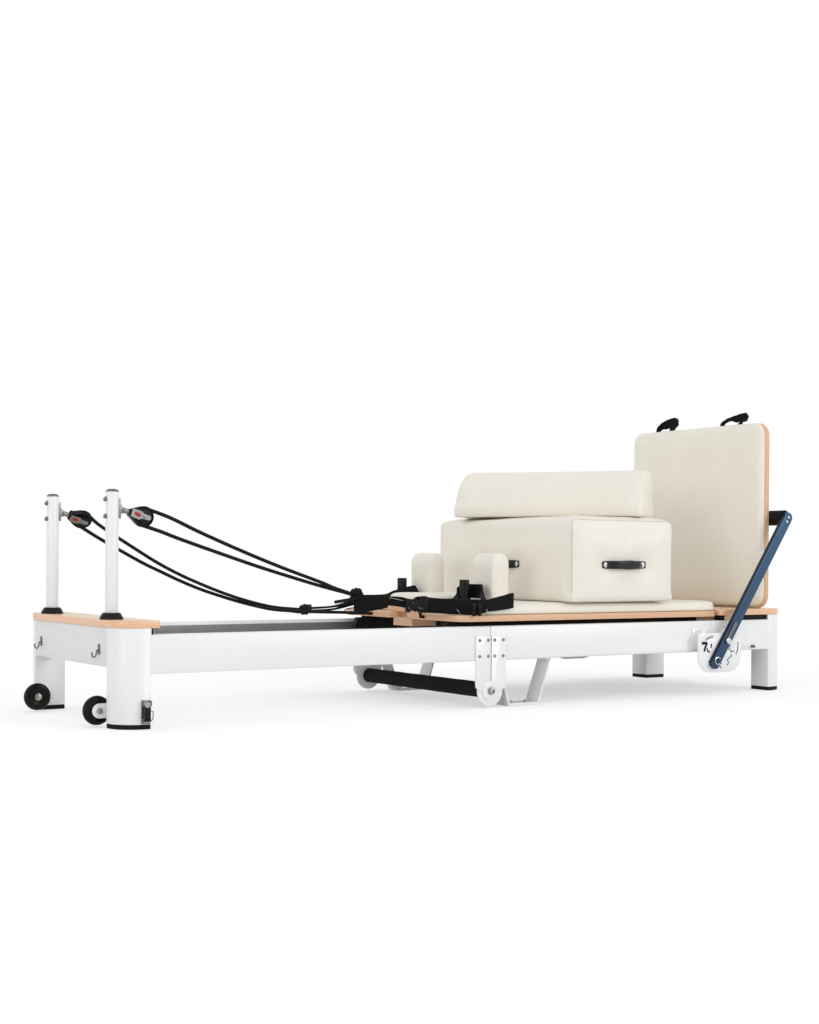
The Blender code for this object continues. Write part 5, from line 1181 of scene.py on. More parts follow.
class REFORMER_OT_hinge(bpy.types.Operator):
    """Finish the middle hinge, its screws, its through shaft and the foam bar on it"""

    bl_idname = "reformer.hinge"
    bl_label = "Middle hinge"

    def execute(self, context):
        sizes = context.scene.reformer_sizes
        for side, sign in SIDES:
            for end in ("head", "foot"):
                softened(f"hinge_plate_{end}_{side}", look("plate"), 0.0006)
            face = sign * HINGE_FACE
            for end, body, offsets in (("head", "head_frame", (-0.042, -0.0105)),
                                       ("foot", "foot_frame", (0.0125, 0.044))):
                places = [(SPLIT_X + u, face, z) for u in offsets for z in (0.199, 0.152)]
                fittings(f"hinge_screws_{end}_{side}", body, "screw", places, [(0, sign, 0)] * 4, sizes.screw,
                         "bracket", 5)
        softened("hinge_shaft", look("steel"), 0.0008)
        sockets = [(SPLIT_X, sign * (HINGE_FACE + CLEAR + 0.0058), PIVOT_Z) for _, sign in SIDES]
        fittings("hinge_shaft_heads", "head_frame", "screw", sockets, [(0, sign, 0) for _, sign in SIDES],
                 0.0098, "steel", 9)
        reach = HALF - 0.0045 - 2 * CLEAR
        r = 0.0232
        sleeve = [(0.0068, reach), (r - 0.003, reach), (r, reach - 0.003)]
        count = 40
        sleeve += [(r - 0.0004 * sin(17.0 * k / count) ** 2, reach - 0.003 - (2 * reach - 0.006) * k / count)
                   for k in range(1, count)]
        sleeve += [(r, 0.003 - reach), (r - 0.003, -reach), (0.0068, -reach)]
        place = Matrix.Translation((SPLIT_X, 0, PIVOT_Z)) @ ACROSS
        foam = turned(sleeve, "sleeve", 40, place, closed=True)
        pad_ready(foam, "hinge_bar_sleeve", "head_frame", "hinge_bar", "foam")
        return {"FINISHED"}


class REFORMER_OT_supports(bpy.types.Operator):
    """Finish the two bent straps that the folding end stands on"""

    bl_idname = "reformer.supports"
    bl_label = "Support feet"

    def execute(self, context):
        for side, _ in SIDES:
            softened("support_foot_" + side, look("paint"), 0.0009)
            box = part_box("support_foot_" + side)
            points = [(x, (box[0].y + box[1].y) / 2, 0.0078)
                      for x in (box[0].x + 0.075, box[1].x - 0.075)]
            fittings("support_bolts_" + side, "foot_frame", "bolt", points, [(0, 0, 1)] * 2, 0.0075, "steel",
                     4)
        return {"FINISHED"}


# Cut-outs of the footbar's side plate, drawn as black strips on its face whose black is painted shade: each a
# width and places (x, z) from the lever's pivot
PLATE_CUTS = ((0.0090, ((-0.0555, 0.0566), (-0.0420, 0.0568), (-0.0300, 0.0560))),
              (0.0085, ((-0.0335, 0.0550), (-0.0370, 0.0480), (-0.0415, 0.0400), (-0.0440, 0.0300))),
              (0.0055, ((-0.0320, 0.0400), (-0.0290, 0.0320), (-0.0200, 0.0275))),
              (0.0055, ((-0.0125, 0.0545), (-0.0132, 0.0480), (-0.0142, 0.0410))),
              (0.0045, ((0.0692, 0.0520), (0.0698, 0.0470), (0.0706, 0.0420))),
              (0.0032, ((0.0740, 0.0280), (0.0800, 0.0268), (0.0860, 0.0282), (0.0925, 0.0270))),
              (0.0034, ((0.1078, 0.0575), (0.1085, 0.0440), (0.1055, 0.0300), (0.0988, 0.0170))),
              (0.0030, ((0.0795, 0.0165), (0.0690, 0.0070), (0.0592, -0.0010))),
              (0.0030, ((0.0588, -0.0008), (0.0656, -0.0070), (0.0645, -0.0120), (0.0582, -0.0170))),
              (0.0048, ((0.0270, -0.0100), (0.0330, -0.0115))),
              (0.0048, ((0.0262, -0.0215), (0.0320, -0.0228))))


class REFORMER_OT_footbar(bpy.types.Operator):
    """Finish the footbar: side plates, blue levers, locks, screws and foam grip"""

    bl_idname = "reformer.footbar"
    bl_label = "Footbar"

    def execute(self, context):
        along = Vector((cos(LEVER_TURN), 0, sin(LEVER_TURN)))
        steel = look("steel")
        knob = FOOTBAR + along * 0.077

        def front(p):
            return (p.z - FOOTBAR.z) * cos(LEVER_TURN) - (p.x - FOOTBAR.x) * sin(LEVER_TURN)

        for side, sign in SIDES:
            softened("footbar_plate_" + side, look("plate"), 0.0006, [
                (lambda p: Vector((p.x - FOOTBAR.x,
                                   p.z - FOOTBAR.z)).length < 0.014 and abs(p.y) > LEVER_OUT - 0.004,
                 look("chrome"))])
            # Painted shade: the lever's narrow side that faces away from the key light takes the darker copy
            # of the blue.
            softened("footbar_lever_" + side, look("lever"), 0.0012,
                     [(lambda p: front(p) > 0.0172, look("lever_painted_shade"))])
            softened("footbar_lock_" + side, look("dark_steel"), 0.0010, [
                (lambda p: Vector((p.x - knob.x, p.z - knob.z)).length < 0.0105, look("chrome"))])
            # Painted shade: the plate's cut-outs are black strips laid on its face.
            cuts = []
            for width, places in PLATE_CUTS:
                route = [FOOTBAR + Vector((x, sign * 0.36655, z)) for x, z in places]
                cuts.append(ribbon(smooth_route(route, 0.002), 0.0006, width, "cut", (0, 1, 0)))
            finished(joined(cuts, "cuts"), "footbar_plate_cuts_" + side, "foot_frame", look("rubber"))
            outer = sign * (LEVER_OUT + LEVER_THICK)
            tops = [FOOTBAR + Vector((x, 0, z)) for x, z in ((0.3300, 0.4690), (0.3215, 0.4545))]
            fittings("lever_screws_" + side, "footbar", "screw",
                     [(p.x, outer - sign * 0.0003, p.z) for p in tops], [(0, sign, 0)] * 2, 0.0046, "chrome",
                     6)
            pivot = (FOOTBAR.x, sign * (LEVER_OUT + LEVER_THICK + CLEAR + 0.0038), FOOTBAR.z)
            fittings("lever_pivot_" + side, "foot_frame", "bolt", [pivot], [(0, sign, 0)], 0.0100, "lever",
                     8)
        reach = LEVER_OUT - 2 * CLEAR
        r = 0.0259
        foam = [(0.010, reach), (r - 0.004, reach), (r - 0.0012, reach - 0.0012), (r, reach - 0.004)]
        count = 60
        foam += [(r - 0.0003 * (1 + sin(23.0 * k / count)), reach - 0.004 - (2 * reach - 0.008) * k / count)
                 for k in range(1, count)]
        foam += [(r, 0.004 - reach), (r - 0.0012, 0.0012 - reach), (r - 0.004, -reach), (0.010, -reach)]
        place = Matrix.Translation(FOOTBAR + along * 0.572) @ ACROSS
        sleeve = turned(foam, "grip", 56, place, closed=True)
        pad_ready(sleeve, "footbar_sleeve", "footbar", "footbar_grip", "foam")
        tube = turned([(0.0, reach), (0.0099, reach), (0.0099, -reach), (0.0, -reach)], "tube", 32, place)
        finished(tube, "footbar_tube", "footbar", steel)
        return {"FINISHED"}


class REFORMER_OT_latch(bpy.types.Operator):
    """Finish the transport latch"""

    bl_idname = "reformer.latch"
    bl_label = "Transport latch"

    def execute(self, context):
        x, y, z = HEAD_X - 0.014, -HALF - 0.0085, 0.066
        softened("latch_lever", look("steel"), 0.0005, [
            (lambda p: abs(p.x - x) > 0.0105, look("dark_steel")),
            (lambda p: p.y < y - 0.0028 and p.z < z - 0.004, look("frame_black"))])
        fittings("latch_disc", "latch", "washer", [(x, y - 0.0028, z - 0.003)], [(0, -1, 0)], 0.0080, "steel",
                 14)
        keeper = bar((x - 0.0085, -HALF - 0.0062, 0.0165), (x + 0.0085, -HALF - 0.0028, 0.0225), 0.0010,
                     "keeper")
        finished(keeper, "latch_keeper", "head_frame", look("steel"))
        return {"FINISHED"}


# Rows of a jump board loop's webbing: y, height above the board, width, lean
JUMP_LOOPS = (
    ((0.2137, -0.0005, 0.022, 0.0), (0.2110, 0.0080, 0.022, 0.15), (0.2000, 0.0165, 0.024, 0.6),
     (0.1800, 0.0225, 0.030, 1.1), (0.1556, 0.0275, 0.034, 1.35), (0.1290, 0.0308, 0.035, 1.35),
     (0.1140, 0.0295, 0.034, 1.1), (0.1130, 0.0215, 0.031, 0.6), (0.1270, 0.0140, 0.029, 0.3),
     (0.1400, 0.0070, 0.028, 0.1), (0.1415, -0.0005, 0.027, 0.0)),
    ((-0.1080, -0.0005, 0.0205, 0.0), (-0.1107, 0.0095, 0.020, 0.1), (-0.1258, 0.0170, 0.018, 0.3),
     (-0.1447, 0.0218, 0.018, 0.6), (-0.1716, 0.0215, 0.026, 1.1), (-0.1986, 0.0240, 0.030, 1.3),
     (-0.2180, 0.0250, 0.031, 1.35), (-0.2235, 0.0225, 0.030, 1.2), (-0.2150, 0.0190, 0.026, 0.9),
     (-0.2030, 0.0130, 0.026, 0.6), (-0.1935, 0.0060, 0.0255, 0.2), (-0.1915, -0.0005, 0.0245, 0.0)))


class REFORMER_OT_jump_board(bpy.types.Operator):
    """Make the jump board, its padding and its two webbing loops"""

    bl_idname = "reformer.jump_board"
    bl_label = "Jump board"

    def execute(self, context):
        sizes = context.scene.reformer_sizes
        front = JUMP_BACK - 0.018
        half, top = 0.318, JUMP_LOW + 0.6275

        def outline(inset):
            r = max(0.045 - inset, 0.001)
            return round_rect(-half + inset, half - inset, JUMP_LOW + inset, top - inset, (r,) * 4, 10)

        edge = [(0.0015, front), (0.0004, front + 0.0004), (0, front + 0.0015), (0, JUMP_BACK - 0.0015),
                (0.0004, JUMP_BACK - 0.0004), (0.0015, JUMP_BACK)]
        board = layered(outline, "YZ", edge, "board", 35)
        finished(board, "jump_board_ply", "jump_board", look("ply_upright"), ("jump_board",))
        middle = JUMP_BACK - 0.009
        dowel = [(0, -0.0140), (0.0042, -0.0140), (0.005, -0.0128), (0.005, 0.010), (0, 0.010)]
        dowels = [turned(dowel, "dowel", 24, Matrix.Translation((middle, sign * 0.200, JUMP_LOW)))
                  for _, sign in SIDES]
        finished(joined(dowels, "dowels"), "jump_board_dowels", "jump_board", look("steel"))
        loops = []
        for rows in JUMP_LOOPS:
            places = [Vector((middle, y, top + rise)) for y, rise, _, _ in rows]
            width, lean = stops(places, rows, (2, 3))
            loops.append(ribbon(smooth_route(places, 0.003), width, 0.0026, "loop", (1, 0, 0), lean))
        finished(joined(loops, "loops"), "jump_board_loops", "jump_board", look("webbing"))
        inset = -0.0035

        def cover(drawn):
            r = max(0.045 - drawn, 0.0012)
            return round_rect(-half + inset + drawn, half - inset - drawn, JUMP_LOW + 0.002 + drawn,
                              top - inset - drawn, (r,) * 4, 8)

        rings = rolled(front - CLEAR, front - CLEAR - 0.0275, 0.022, 6, 0.0015)
        pad = swollen(layered(cover, "YZ", rings, "cover"), 0.008, min(sizes.swell, 0.0035),
                      lambda p: p.x > front - 0.007, 4.0,
                      ((front - 0.032, -half - 0.0003, JUMP_LOW + 0.001),
                       (front - CLEAR, half + 0.0003, top + 0.0003)), 3)
        pad_ready(pad, "jump_pad_cover", "jump_board", "jump_pad", finish="board_leather")
        welt = [Vector((front - 0.0040, y, z)) for y, z in cover(-0.001)]
        piping(pad, welt, "jump_pad_welt", "jump_board", 0.0009, "seam")
        return {"FINISHED"}


class REFORMER_OT_carriage(bpy.types.Operator):
    """Finish the carriage: board, under-frame, rollers and coil springs"""

    bl_idname = "reformer.carriage"
    bl_label = "Carriage"

    def execute(self, context):
        sizes = context.scene.reformer_sizes
        softened("carriage_board", look("ply"), 0.0014)
        softened("carriage_chassis", look("frame_black"), 0.0006,
                 [(lambda p: p.z > BOARD_LOW - 0.001, look("plastic"))], 50)
        for side, sign in SIDES:
            sleeve = [(0.0, 0.3726), (0.0138, 0.3726), (0.0148, 0.3718), (0.0152, 0.3704), (0.0152, 0.345),
                      (0.0160, 0.331), (0.0185, 0.3185), (0.0215, 0.3090), (0.0222, PAD_TOP - 0.0006),
                      (0.0139, PAD_TOP - 0.0006), (0.0139, 0.37215), (0.0, 0.37215)]
            post = turned(sleeve, "post", 48, Matrix.Translation((LOOP_POST_X, sign * SHOULDER_Y, 0)),
                          sharp=50)
            finished(post, "loop_post_sleeve_" + side, "carriage", look("plastic"))
            edges = [(HEAD_X + 0.9583, 0.2108), (HEAD_X + 1.010, 0.2108), (HEAD_X + 1.010, 0.2454),
                     (HEAD_X + 0.971, 0.2454)]
            guard = layered(lambda inset: edges, "XZ", [(0, sign * 0.246 - 0.010), (0, sign * 0.246 + 0.010)],
                            "guard", 30)
            finished(guard, "roller_guard_" + side, "carriage", look("frame_black"))
        for end in ("head", "foot"):
            softened("carriage_rollers_" + end, look("rubber"), 0.0012,
                     [(lambda p: abs(p.y) < 0.27, look("steel"))], 50)
        anchor, spring_z, spacing = CARRIAGE_X + 0.42, 0.2185, 0.045
        bar_piece = bar((anchor - 0.012, -0.110, 0.2125), (anchor + 0.012, 0.110, 0.2319), 0.001, "anchor")
        finished(bar_piece, "spring_anchor", "carriage", look("frame_black"))
        length = 0.440
        seed = bpy.data.meshes.new("coils")
        seed.from_pydata([(0, 0, 0)], [], [])
        values = {"Coil Radius": 0.0095 - sizes.spring_wire / 2, "Wire Radius": sizes.spring_wire / 2,
                  "Turns": length / sizes.spring_pitch, "Length": length, "Spacing": spacing, "Count": 5,
                  "Start": (anchor + 0.016, -2 * spacing, spring_z), "Finish": look("wire")}
        coils = through_tree(named(seed, "coils"), coil_tree(), values)
        smooth_shaded(coils.data, 60)
        finished(coils, "carriage_springs", "carriage", look("wire"), ("spring_set",))
        ends = []
        for i in range(5):
            y = spacing * (i - 2)
            ends.append(round_tube([Vector((anchor + u, y, spring_z)) for u in (0.010, 0.016, 0.024)], 0.0045,
                                   "plug", 14))
            hook = [Vector((anchor + 0.016 + length + 0.008 * sin(a), y, spring_z + 0.0075 * cos(a)))
                    for a in [pi * k / 10 for k in range(9)]]
            ends.append(round_tube([Vector((anchor + 0.008 + length, y, 0.2245))] + hook, 0.0014, "hook", 8))
        finished(joined(ends, "ends"), "spring_ends", "carriage", look("steel"))
        return {"FINISHED"}


class REFORMER_OT_carriage_pad(bpy.types.Operator):
    """Upholster the carriage's main pad"""

    bl_idname = "reformer.carriage_pad"
    bl_label = "Carriage pad"

    def execute(self, context):
        half = 0.326
        left, right = CARRIAGE_X + 0.064, CARRIAGE_END
        room, end = 0.115, HEADREST_END + 0.027

        def cover(inset):
            r, q = max(0.030 - inset, 0.0012), max(0.010 - inset, 0.0012)
            x0, x1, y1, arm = left + inset, right - inset, half - inset, room + inset
            points = arc(x0 + r, -y1 + r, r, 180, 270, 8) + arc(x1 - r, -y1 + r, r, 270, 360, 8)
            points += arc(x1 - r, y1 - r, r, 0, 90, 8) + arc(x0 + r, y1 - r, r, 90, 180, 8)
            points += arc(x0 + q, arm + q, q, 180, 270, 4)
            points += arc(end - 0.010, room - 0.010, 0.010 + inset, 90, 0, 4)
            points += arc(end - 0.010, 0.010 - room, 0.010 + inset, 0, -90, 4)
            return points + arc(x0 + q, -arm - q, q, 90, 180, 4)

        rings = rolled(PAD_BASE, PAD_TOP - 0.0022, 0.012, 5, 0.003)
        pad = swollen(layered(cover, "XY", rings, "cover"), 0.008, 0.0022, lambda p: p.z < PAD_BASE + 0.008,
                      4.0, ((left, -half - 0.001, PAD_BASE), (right, half + 0.001, PAD_TOP - 0.0002)), 3)
        holes = [(LOOP_POST_X, sign * SHOULDER_Y, 0.0141) for _, sign in SIDES]
        holes += [(x, y, 0.0066) for _, sign in SIDES for x, y in stem_places(sign)]
        pad = drilled(pad, holes)
        pad_ready(pad, "carriage_pad_cover", "carriage", "carriage_pad")
        welt = [Vector((x, y, PAD_BASE + 0.0055)) for x, y in cover(-0.001)]
        piping(pad, welt, "carriage_pad_welt", "carriage", 0.0010)
        return {"FINISHED"}


class REFORMER_OT_headrest(bpy.types.Operator):
    """Upholster the headrest on its board"""

    bl_idname = "reformer.headrest"
    bl_label = "Headrest"

    def execute(self, context):
        softened("headrest_board", look("ply"), 0.0012)
        low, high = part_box("headrest_pad")
        corners = (0.030, 0.008, 0.008, 0.030)

        def cover(inset):
            return round_rect(low.x + inset, high.x - inset, -0.110 + inset, 0.110 - inset,
                              [max(c - inset, 0.0012) for c in corners], 8)

        rings = rolled(low.z, high.z - 0.003, 0.013, 5, 0.003)
        pad = swollen(layered(cover, "XY", rings, "cover"), 0.005, 0.0035, lambda p: p.z < low.z + 0.006, 4.0,
                      ((low.x, -0.1105, low.z), (high.x, 0.1105, high.z)), 3)
        pad_ready(pad, "headrest_cover", "headrest", "headrest_pad")
        piping(pad, [Vector((x, y, low.z + 0.007)) for x, y in cover(-0.001)], "headrest_welt", "headrest",
               0.0010)
        return {"FINISHED"}


class REFORMER_OT_shoulder_rests(bpy.types.Operator):
    """Upholster the two arched shoulder rests and set them on their stems"""

    bl_idname = "reformer.shoulder_rests"
    bl_label = "Shoulder rests"

    def execute(self, context):
        low = PAD_TOP + CLEAR
        for side, sign in SIDES:
            body = BODY_OF["shoulder_rest_" + side]
            y0, y1 = sign * SHOULDER_Y - 0.0515, sign * SHOULDER_Y + 0.0515
            middle = SHOULDER_X + 0.035

            def cover(inset):
                r = 0.0342 - inset
                base = low + inset * 0.55
                points = [(middle - r, base), (middle + r, base)]
                rise = SHOULDER_TOP - 0.035
                points[1:1] = [(middle - r + 2 * r * k / 6, base) for k in range(1, 6)]
                points += [(middle + r, base + (rise - base) * k / 8) for k in range(1, 8)]
                points += arc(middle, rise, r, 0, 180, 20)
                return points + [(middle - r, rise - (rise - base) * k / 8) for k in range(1, 8)]

            pad = swollen(layered(cover, "XZ", rolled(y0 + 0.001, y1 - 0.001, 0.0065, 4), "cover"), 0.004,
                          0.0020, lambda p: p.z < low + 0.004, 4.0, ((SHOULDER_X - 0.0005, y0 - 0.001, low),
                           (SHOULDER_X + 0.0705, y1 + 0.001, SHOULDER_TOP)), 2)
            pad_ready(pad, "shoulder_cover_" + side, body, "shoulder_rest_" + side)
            for end, y in (("a", y0 + 0.0035), ("b", y1 - 0.0035)):
                points = [Vector((x, y, z)) for x, z in cover(0.0008)]
                piping(pad, points, f"shoulder_welt_{end}_{side}", body, 0.0015)
            stem = [(0.0, low + 0.010), (0.006, low + 0.010), (0.006, 0.2437), (0.0052, 0.2425),
                    (0.0, 0.2425)]
            stems = [turned(stem, "stem", 28, Matrix.Translation((x, y, 0))) for x, y in stem_places(sign)]
            finished(joined(stems, "stems"), "shoulder_stems_" + side, body, look("steel"))
        return {"FINISHED"}


class REFORMER_OT_sitting_box(bpy.types.Operator):
    """Upholster the sitting box and screw on its four strap handles"""

    bl_idname = "reformer.sitting_box"
    bl_label = "Sitting box"

    def execute(self, context):
        sizes = context.scene.reformer_sizes
        roll = sizes.box_roll
        hx, hy = BOX_SIZE.x / 2, BOX_SIZE.y / 2 + 0.0065
        z0, z1 = BOX_LOW, BOX_LOW + BOX_SIZE.z

        def cover(inset):
            return round_rect(BOX_X - hx + inset, BOX_X + hx - inset, -hy + inset, hy - inset,
                              (max(0.009 - inset, 0.0012),) * 4, 5)

        body = BODY_OF["sitting_box"]
        form = layered(cover, "XY", rolled(z0, z1, roll, 6, 0.012), "cover")
        pad = swollen(form, 0.007, 0.0055, lambda p: p.z < z0 + 0.006, 4.0,
                      ((BOX_X - hx - 0.006, -hy - 0.006, z0), (BOX_X + hx + 0.006, hy + 0.006, z1 + 0.0058)),
                      2)
        level = z0 + 0.115
        skin = skin_of(pad)
        spots, routes = [], []
        for axis, way in (("Y", -1), ("Y", 1), ("X", -1), ("X", 1)):
            out = Vector((0, way, 0)) if axis == "Y" else Vector((way, 0, 0))
            along = Vector((1, 0, 0)) if axis == "Y" else Vector((0, 1, 0))
            centre = Vector((BOX_X, 0, level))
            face = (skin.find_nearest(centre + out * (hy if axis == "Y" else hx))[0] - centre).dot(out)
            routes.append((centre, out, along, face))
            for u in (-HANDLE_HALF, HANDLE_HALF):
                spots.append((centre + along * u + out * face, -out, 0.040, sizes.dimple))
        pressed(pad, spots)
        pad_ready(pad, "sitting_box_cover", body, "sitting_box")
        skin = skin_of(pad)
        straps, heads, aims = [], [], []
        for centre, out, along, face in routes:
            tab = (skin.ray_cast(centre + along * HANDLE_HALF + out * 0.6,
                                 -out)[0] - centre).dot(out) + 0.0018
            profile = [(-0.089, tab + 0.0006), (-0.080, tab), (-0.071, tab + 0.0010), (-0.063, face + 0.0005),
                       (-0.050, face + 0.0085), (-0.028, face + 0.0125), (0.0, face + 0.0135)]
            profile += [(-u, v) for u, v in profile[-2::-1]]
            route = smooth_route([centre + along * u + out * v for u, v in profile], 0.003)
            straps.append(ribbon(route,
                                 [(0, 0.020), (0.06, 0.0235), (0.16, 0.0245), (0.30, 0.0250), (0.5, 0.0285),
                                         (0.70, 0.0250), (0.84, 0.0245), (0.94, 0.0235), (1, 0.020)],
                                 [(0, 0.0028), (0.16, 0.0030), (0.32, 0.0090), (0.5, 0.0110), (0.68, 0.0090),
                                  (0.84, 0.0030), (1, 0.0028)], "strap"))
            for u in (-HANDLE_HALF, HANDLE_HALF):
                heads.append(centre + along * u + out * (tab + 0.0013))
                aims.append(out)
        finished(joined(straps, "straps"), "box_handles", body, look("handle"))
        fittings("box_handle_washers", body, "washer", heads, aims, 0.0085, "chrome", 12)
        fittings("box_handle_screws", body, "screw", [p + a * 0.0010 for p, a in zip(heads, aims)], aims,
                 0.0056, "chrome", 13)
        for side, sign in SIDES:
            outline = round_rect(BOX_X - hx - 0.004, BOX_X + hx + 0.004, z0 + 0.001, z1 + 0.004,
                                 (0.012, 0.012, roll, roll), 8)
            corners = [Vector((x, sign * (hy - 0.004), z)) for x, z in outline]
            around = [a.lerp(b, k / 12) for a, b in zip(corners, corners[1:] + corners[:1])
                      for k in range(12)]
            piping(pad, around, "box_seam_" + side, body, 0.0012, "seam")
        return {"FINISHED"}


class REFORMER_OT_bolster(bpy.types.Operator):
    """Upholster the bolster that lies slantwise on the box"""

    bl_idname = "reformer.bolster"
    bl_label = "Bolster"

    def execute(self, context):
        section = [(0.006, 0.0), (-0.001, 0.010), (-0.003, 0.026), (0.002, 0.042), (0.014, 0.060),
                   (0.022, 0.082), (0.044, 0.111), (0.078, 0.137), (0.118, 0.152), (0.148, 0.153),
                   (0.163, 0.139), (0.169, 0.108), (0.170, 0.062), (0.167, 0.014), (0.160, 0.0)]
        round_it = smooth_route([Vector((u - 0.085, v / 0.153 * 0.1555, 0)) for u, v in section], 0.006)
        base = [Vector((0.075 - 0.154 * k / 22, 0, 0)) for k in range(1, 22)]
        shape = [(p.x, p.y) for p in round_it + base]
        place = Matrix.Translation((BOX_X, 0, BOLSTER_LOW)) @ Matrix.Rotation(radians(-57), 4, "Z")
        half = 0.320
        sections = []
        for x, scale in ((-half + 0.001, 0.90), (-half + 0.004, 0.935), (-half + 0.010, 0.968),
                         (-half + 0.020, 0.988), (-half + 0.045, 1.0), (half - 0.045, 1.0),
                         (half - 0.020, 0.988), (half - 0.010, 0.968), (half - 0.004, 0.935),
                         (half - 0.001, 0.90)):
            sections.append([Vector((x, u * scale, max(v * scale, 0.0))) for u, v in shape])
        form = loft(sections, "cover")
        form.data.transform(place)
        pad = swollen(form, 0.006, 0.0035, lambda p: p.z < BOLSTER_LOW + 0.004, 4.0,
                      ((-9, -9, BOLSTER_LOW), (9, 9, BOLSTER_LOW + 0.1595)), 2)
        body = BODY_OF["bolster"]
        pad_ready(pad, "bolster_cover", body, "bolster")
        for name, x in (("far", 0.0085 - half), ("near", half - 0.0085)):
            points = [place @ Vector((x, u * 0.965, max(v * 0.965, 0.0006))) for u, v in shape]
            piping(pad, points, "bolster_seam_" + name, body, 0.0009)
        return {"FINISHED"}


# Ropes and hand loops
def block_frame(side, sign):
    """A pulley block's own axes: x along the rope, y along the sheave's axle."""
    at = Matrix.Translation((EYE.x, sign * POST_Y, EYE.z))
    return at @ Matrix.Rotation(TILT, 4, "Y") @ Matrix.Rotation(ROLL[side], 4, "X")


ROPE_END_Y = 0.145
KNOT_PLACE = {"near": (HEAD_X + 0.700, 0.190, 0.334), "far": (HEAD_X + 0.749, 0.190, 0.2755)}
ROPE_TOP = {
    "near": [(0.6253, 0.194, 0.3501), (0.5750, 0.1953, 0.3682), (0.4435, 0.2004, 0.4106),
             (0.3166, 0.2051, 0.4556), (0.1946, 0.2089, 0.5025), (0.1061, 0.2111, 0.5397)],
    "far": [(0.6500, 0.1900, 0.2825), (0.5910, 0.1907, 0.2932), (0.5233, 0.1917, 0.3108),
            (0.4571, 0.1934, 0.3321), (0.3921, 0.1956, 0.3566), (0.3281, 0.1979, 0.3833),
            (0.2650, 0.2001, 0.4141), (0.2027, 0.2021, 0.4496), (0.0866, 0.2050, 0.5200)],
}
ROPE_LOW = {
    "near": [(0.0773, 0.2120, 0.5033), (0.1356, 0.2105, 0.4836), (0.2557, 0.2064, 0.4465),
             (0.3802, 0.2017, 0.4094), (0.5110, 0.1939, 0.3743), (0.5809, 0.1855, 0.3570),
             (0.6357, 0.1767, 0.3448), (0.6737, 0.1693, 0.3369), (0.7200, 0.1600, 0.3260),
             (0.8000, 0.1510, 0.3120), (0.8700, 0.1480, 0.3030), (0.9200, 0.1460, 0.2915),
             (0.9500, 0.1450, 0.2770)],
    "far": [(0.0963, 0.2280, 0.4830), (0.2130, 0.2252, 0.4216), (0.2747, 0.2212, 0.3930),
            (0.3372, 0.2169, 0.3650), (0.4002, 0.2121, 0.3401), (0.4636, 0.2062, 0.3194),
            (0.5278, 0.2001, 0.3006), (0.5885, 0.1859, 0.2854), (0.6400, 0.1720, 0.2760),
            (0.7400, 0.1520, 0.2700), (0.8500, 0.1460, 0.2665), (0.9300, 0.1450, 0.2630)],
}
# Rows of a hand loop's webbing: x, y, z, width, thickness, lean
BUNDLE = [(0.800, 0.2000, 0.3095, 0.034, 0.004, 0), (0.770, 0.1990, 0.3085, 0.043, 0.004, 0),
          (0.735, 0.1980, 0.3055, 0.047, 0.004, 0), (0.705, 0.1955, 0.2995, 0.046, 0.004, 0),
          (0.693, 0.1900, 0.2945, 0.043, 0.004, 0), (0.704, 0.1840, 0.2995, 0.046, 0.004, 0),
          (0.735, 0.1815, 0.3065, 0.047, 0.004, 0), (0.770, 0.1815, 0.3090, 0.043, 0.004, 0),
          (0.800, 0.1840, 0.3110, 0.036, 0.004, 0)]
NEAR_LOOP = [(0.765, 0.1935, 0.3120, 0.026, 0.003, 0), (0.800, 0.1965, 0.3112, 0.021, 0.003, 0),
             (0.8144, 0.2000, 0.3108, 0.020, 0.003, 0), (0.8492, 0.2080, 0.3056, 0.0212, 0.003, 0),
             (0.872, 0.2165, 0.3010, 0.030, 0.0035, 0), (0.893, 0.2240, 0.3035, 0.044, 0.006, 0),
             (0.9212, 0.2350, 0.3000, 0.045, 0.012, 0), (0.9607, 0.2560, 0.2968, 0.0445, 0.0125, 0),
             (0.983, 0.2740, 0.2962, 0.047, 0.0125, 0), (1.0109, 0.3030, 0.2952, 0.0455, 0.012, 0),
             (1.030, 0.3235, 0.2955, 0.044, 0.010, 0), (1.045, 0.3340, 0.2985, 0.041, 0.006, 0.1),
             (1.062, 0.3300, 0.3065, 0.038, 0.005, 0.7), (1.078, 0.3100, 0.3115, 0.036, 0.0045, 1.2),
             (1.094, 0.2800, 0.3125, 0.036, 0.0045, 1.15), (1.110, 0.2520, 0.3155, 0.037, 0.0045, 0.85),
             (1.128, 0.2250, 0.3265, 0.040, 0.0045, 0.35), (1.140, 0.2000, 0.3375, 0.043, 0.0045, 0.1),
             (1.140, 0.1750, 0.3375, 0.043, 0.0045, 0), (1.122, 0.1530, 0.3375, 0.043, 0.0045, 0),
             (1.0955, 0.1455, 0.3330, 0.040, 0.0045, 0.2), (1.074, 0.1520, 0.3200, 0.034, 0.0045, 0.9),
             (1.052, 0.1760, 0.3100, 0.032, 0.0045, 1.45), (1.025, 0.2000, 0.3085, 0.030, 0.0045, 1.45),
             (0.990, 0.2150, 0.3000, 0.030, 0.0045, 0.8), (0.950, 0.2150, 0.2985, 0.032, 0.0045, 0.1),
             (0.905, 0.2050, 0.3000, 0.030, 0.004, 0), (0.8721, 0.1980, 0.3040, 0.029, 0.004, 0),
             (0.8474, 0.1925, 0.3090, 0.0295, 0.004, 0), (0.8059, 0.1880, 0.3120, 0.027, 0.004, 0),
             (0.765, 0.1870, 0.3125, 0.027, 0.004, 0)]
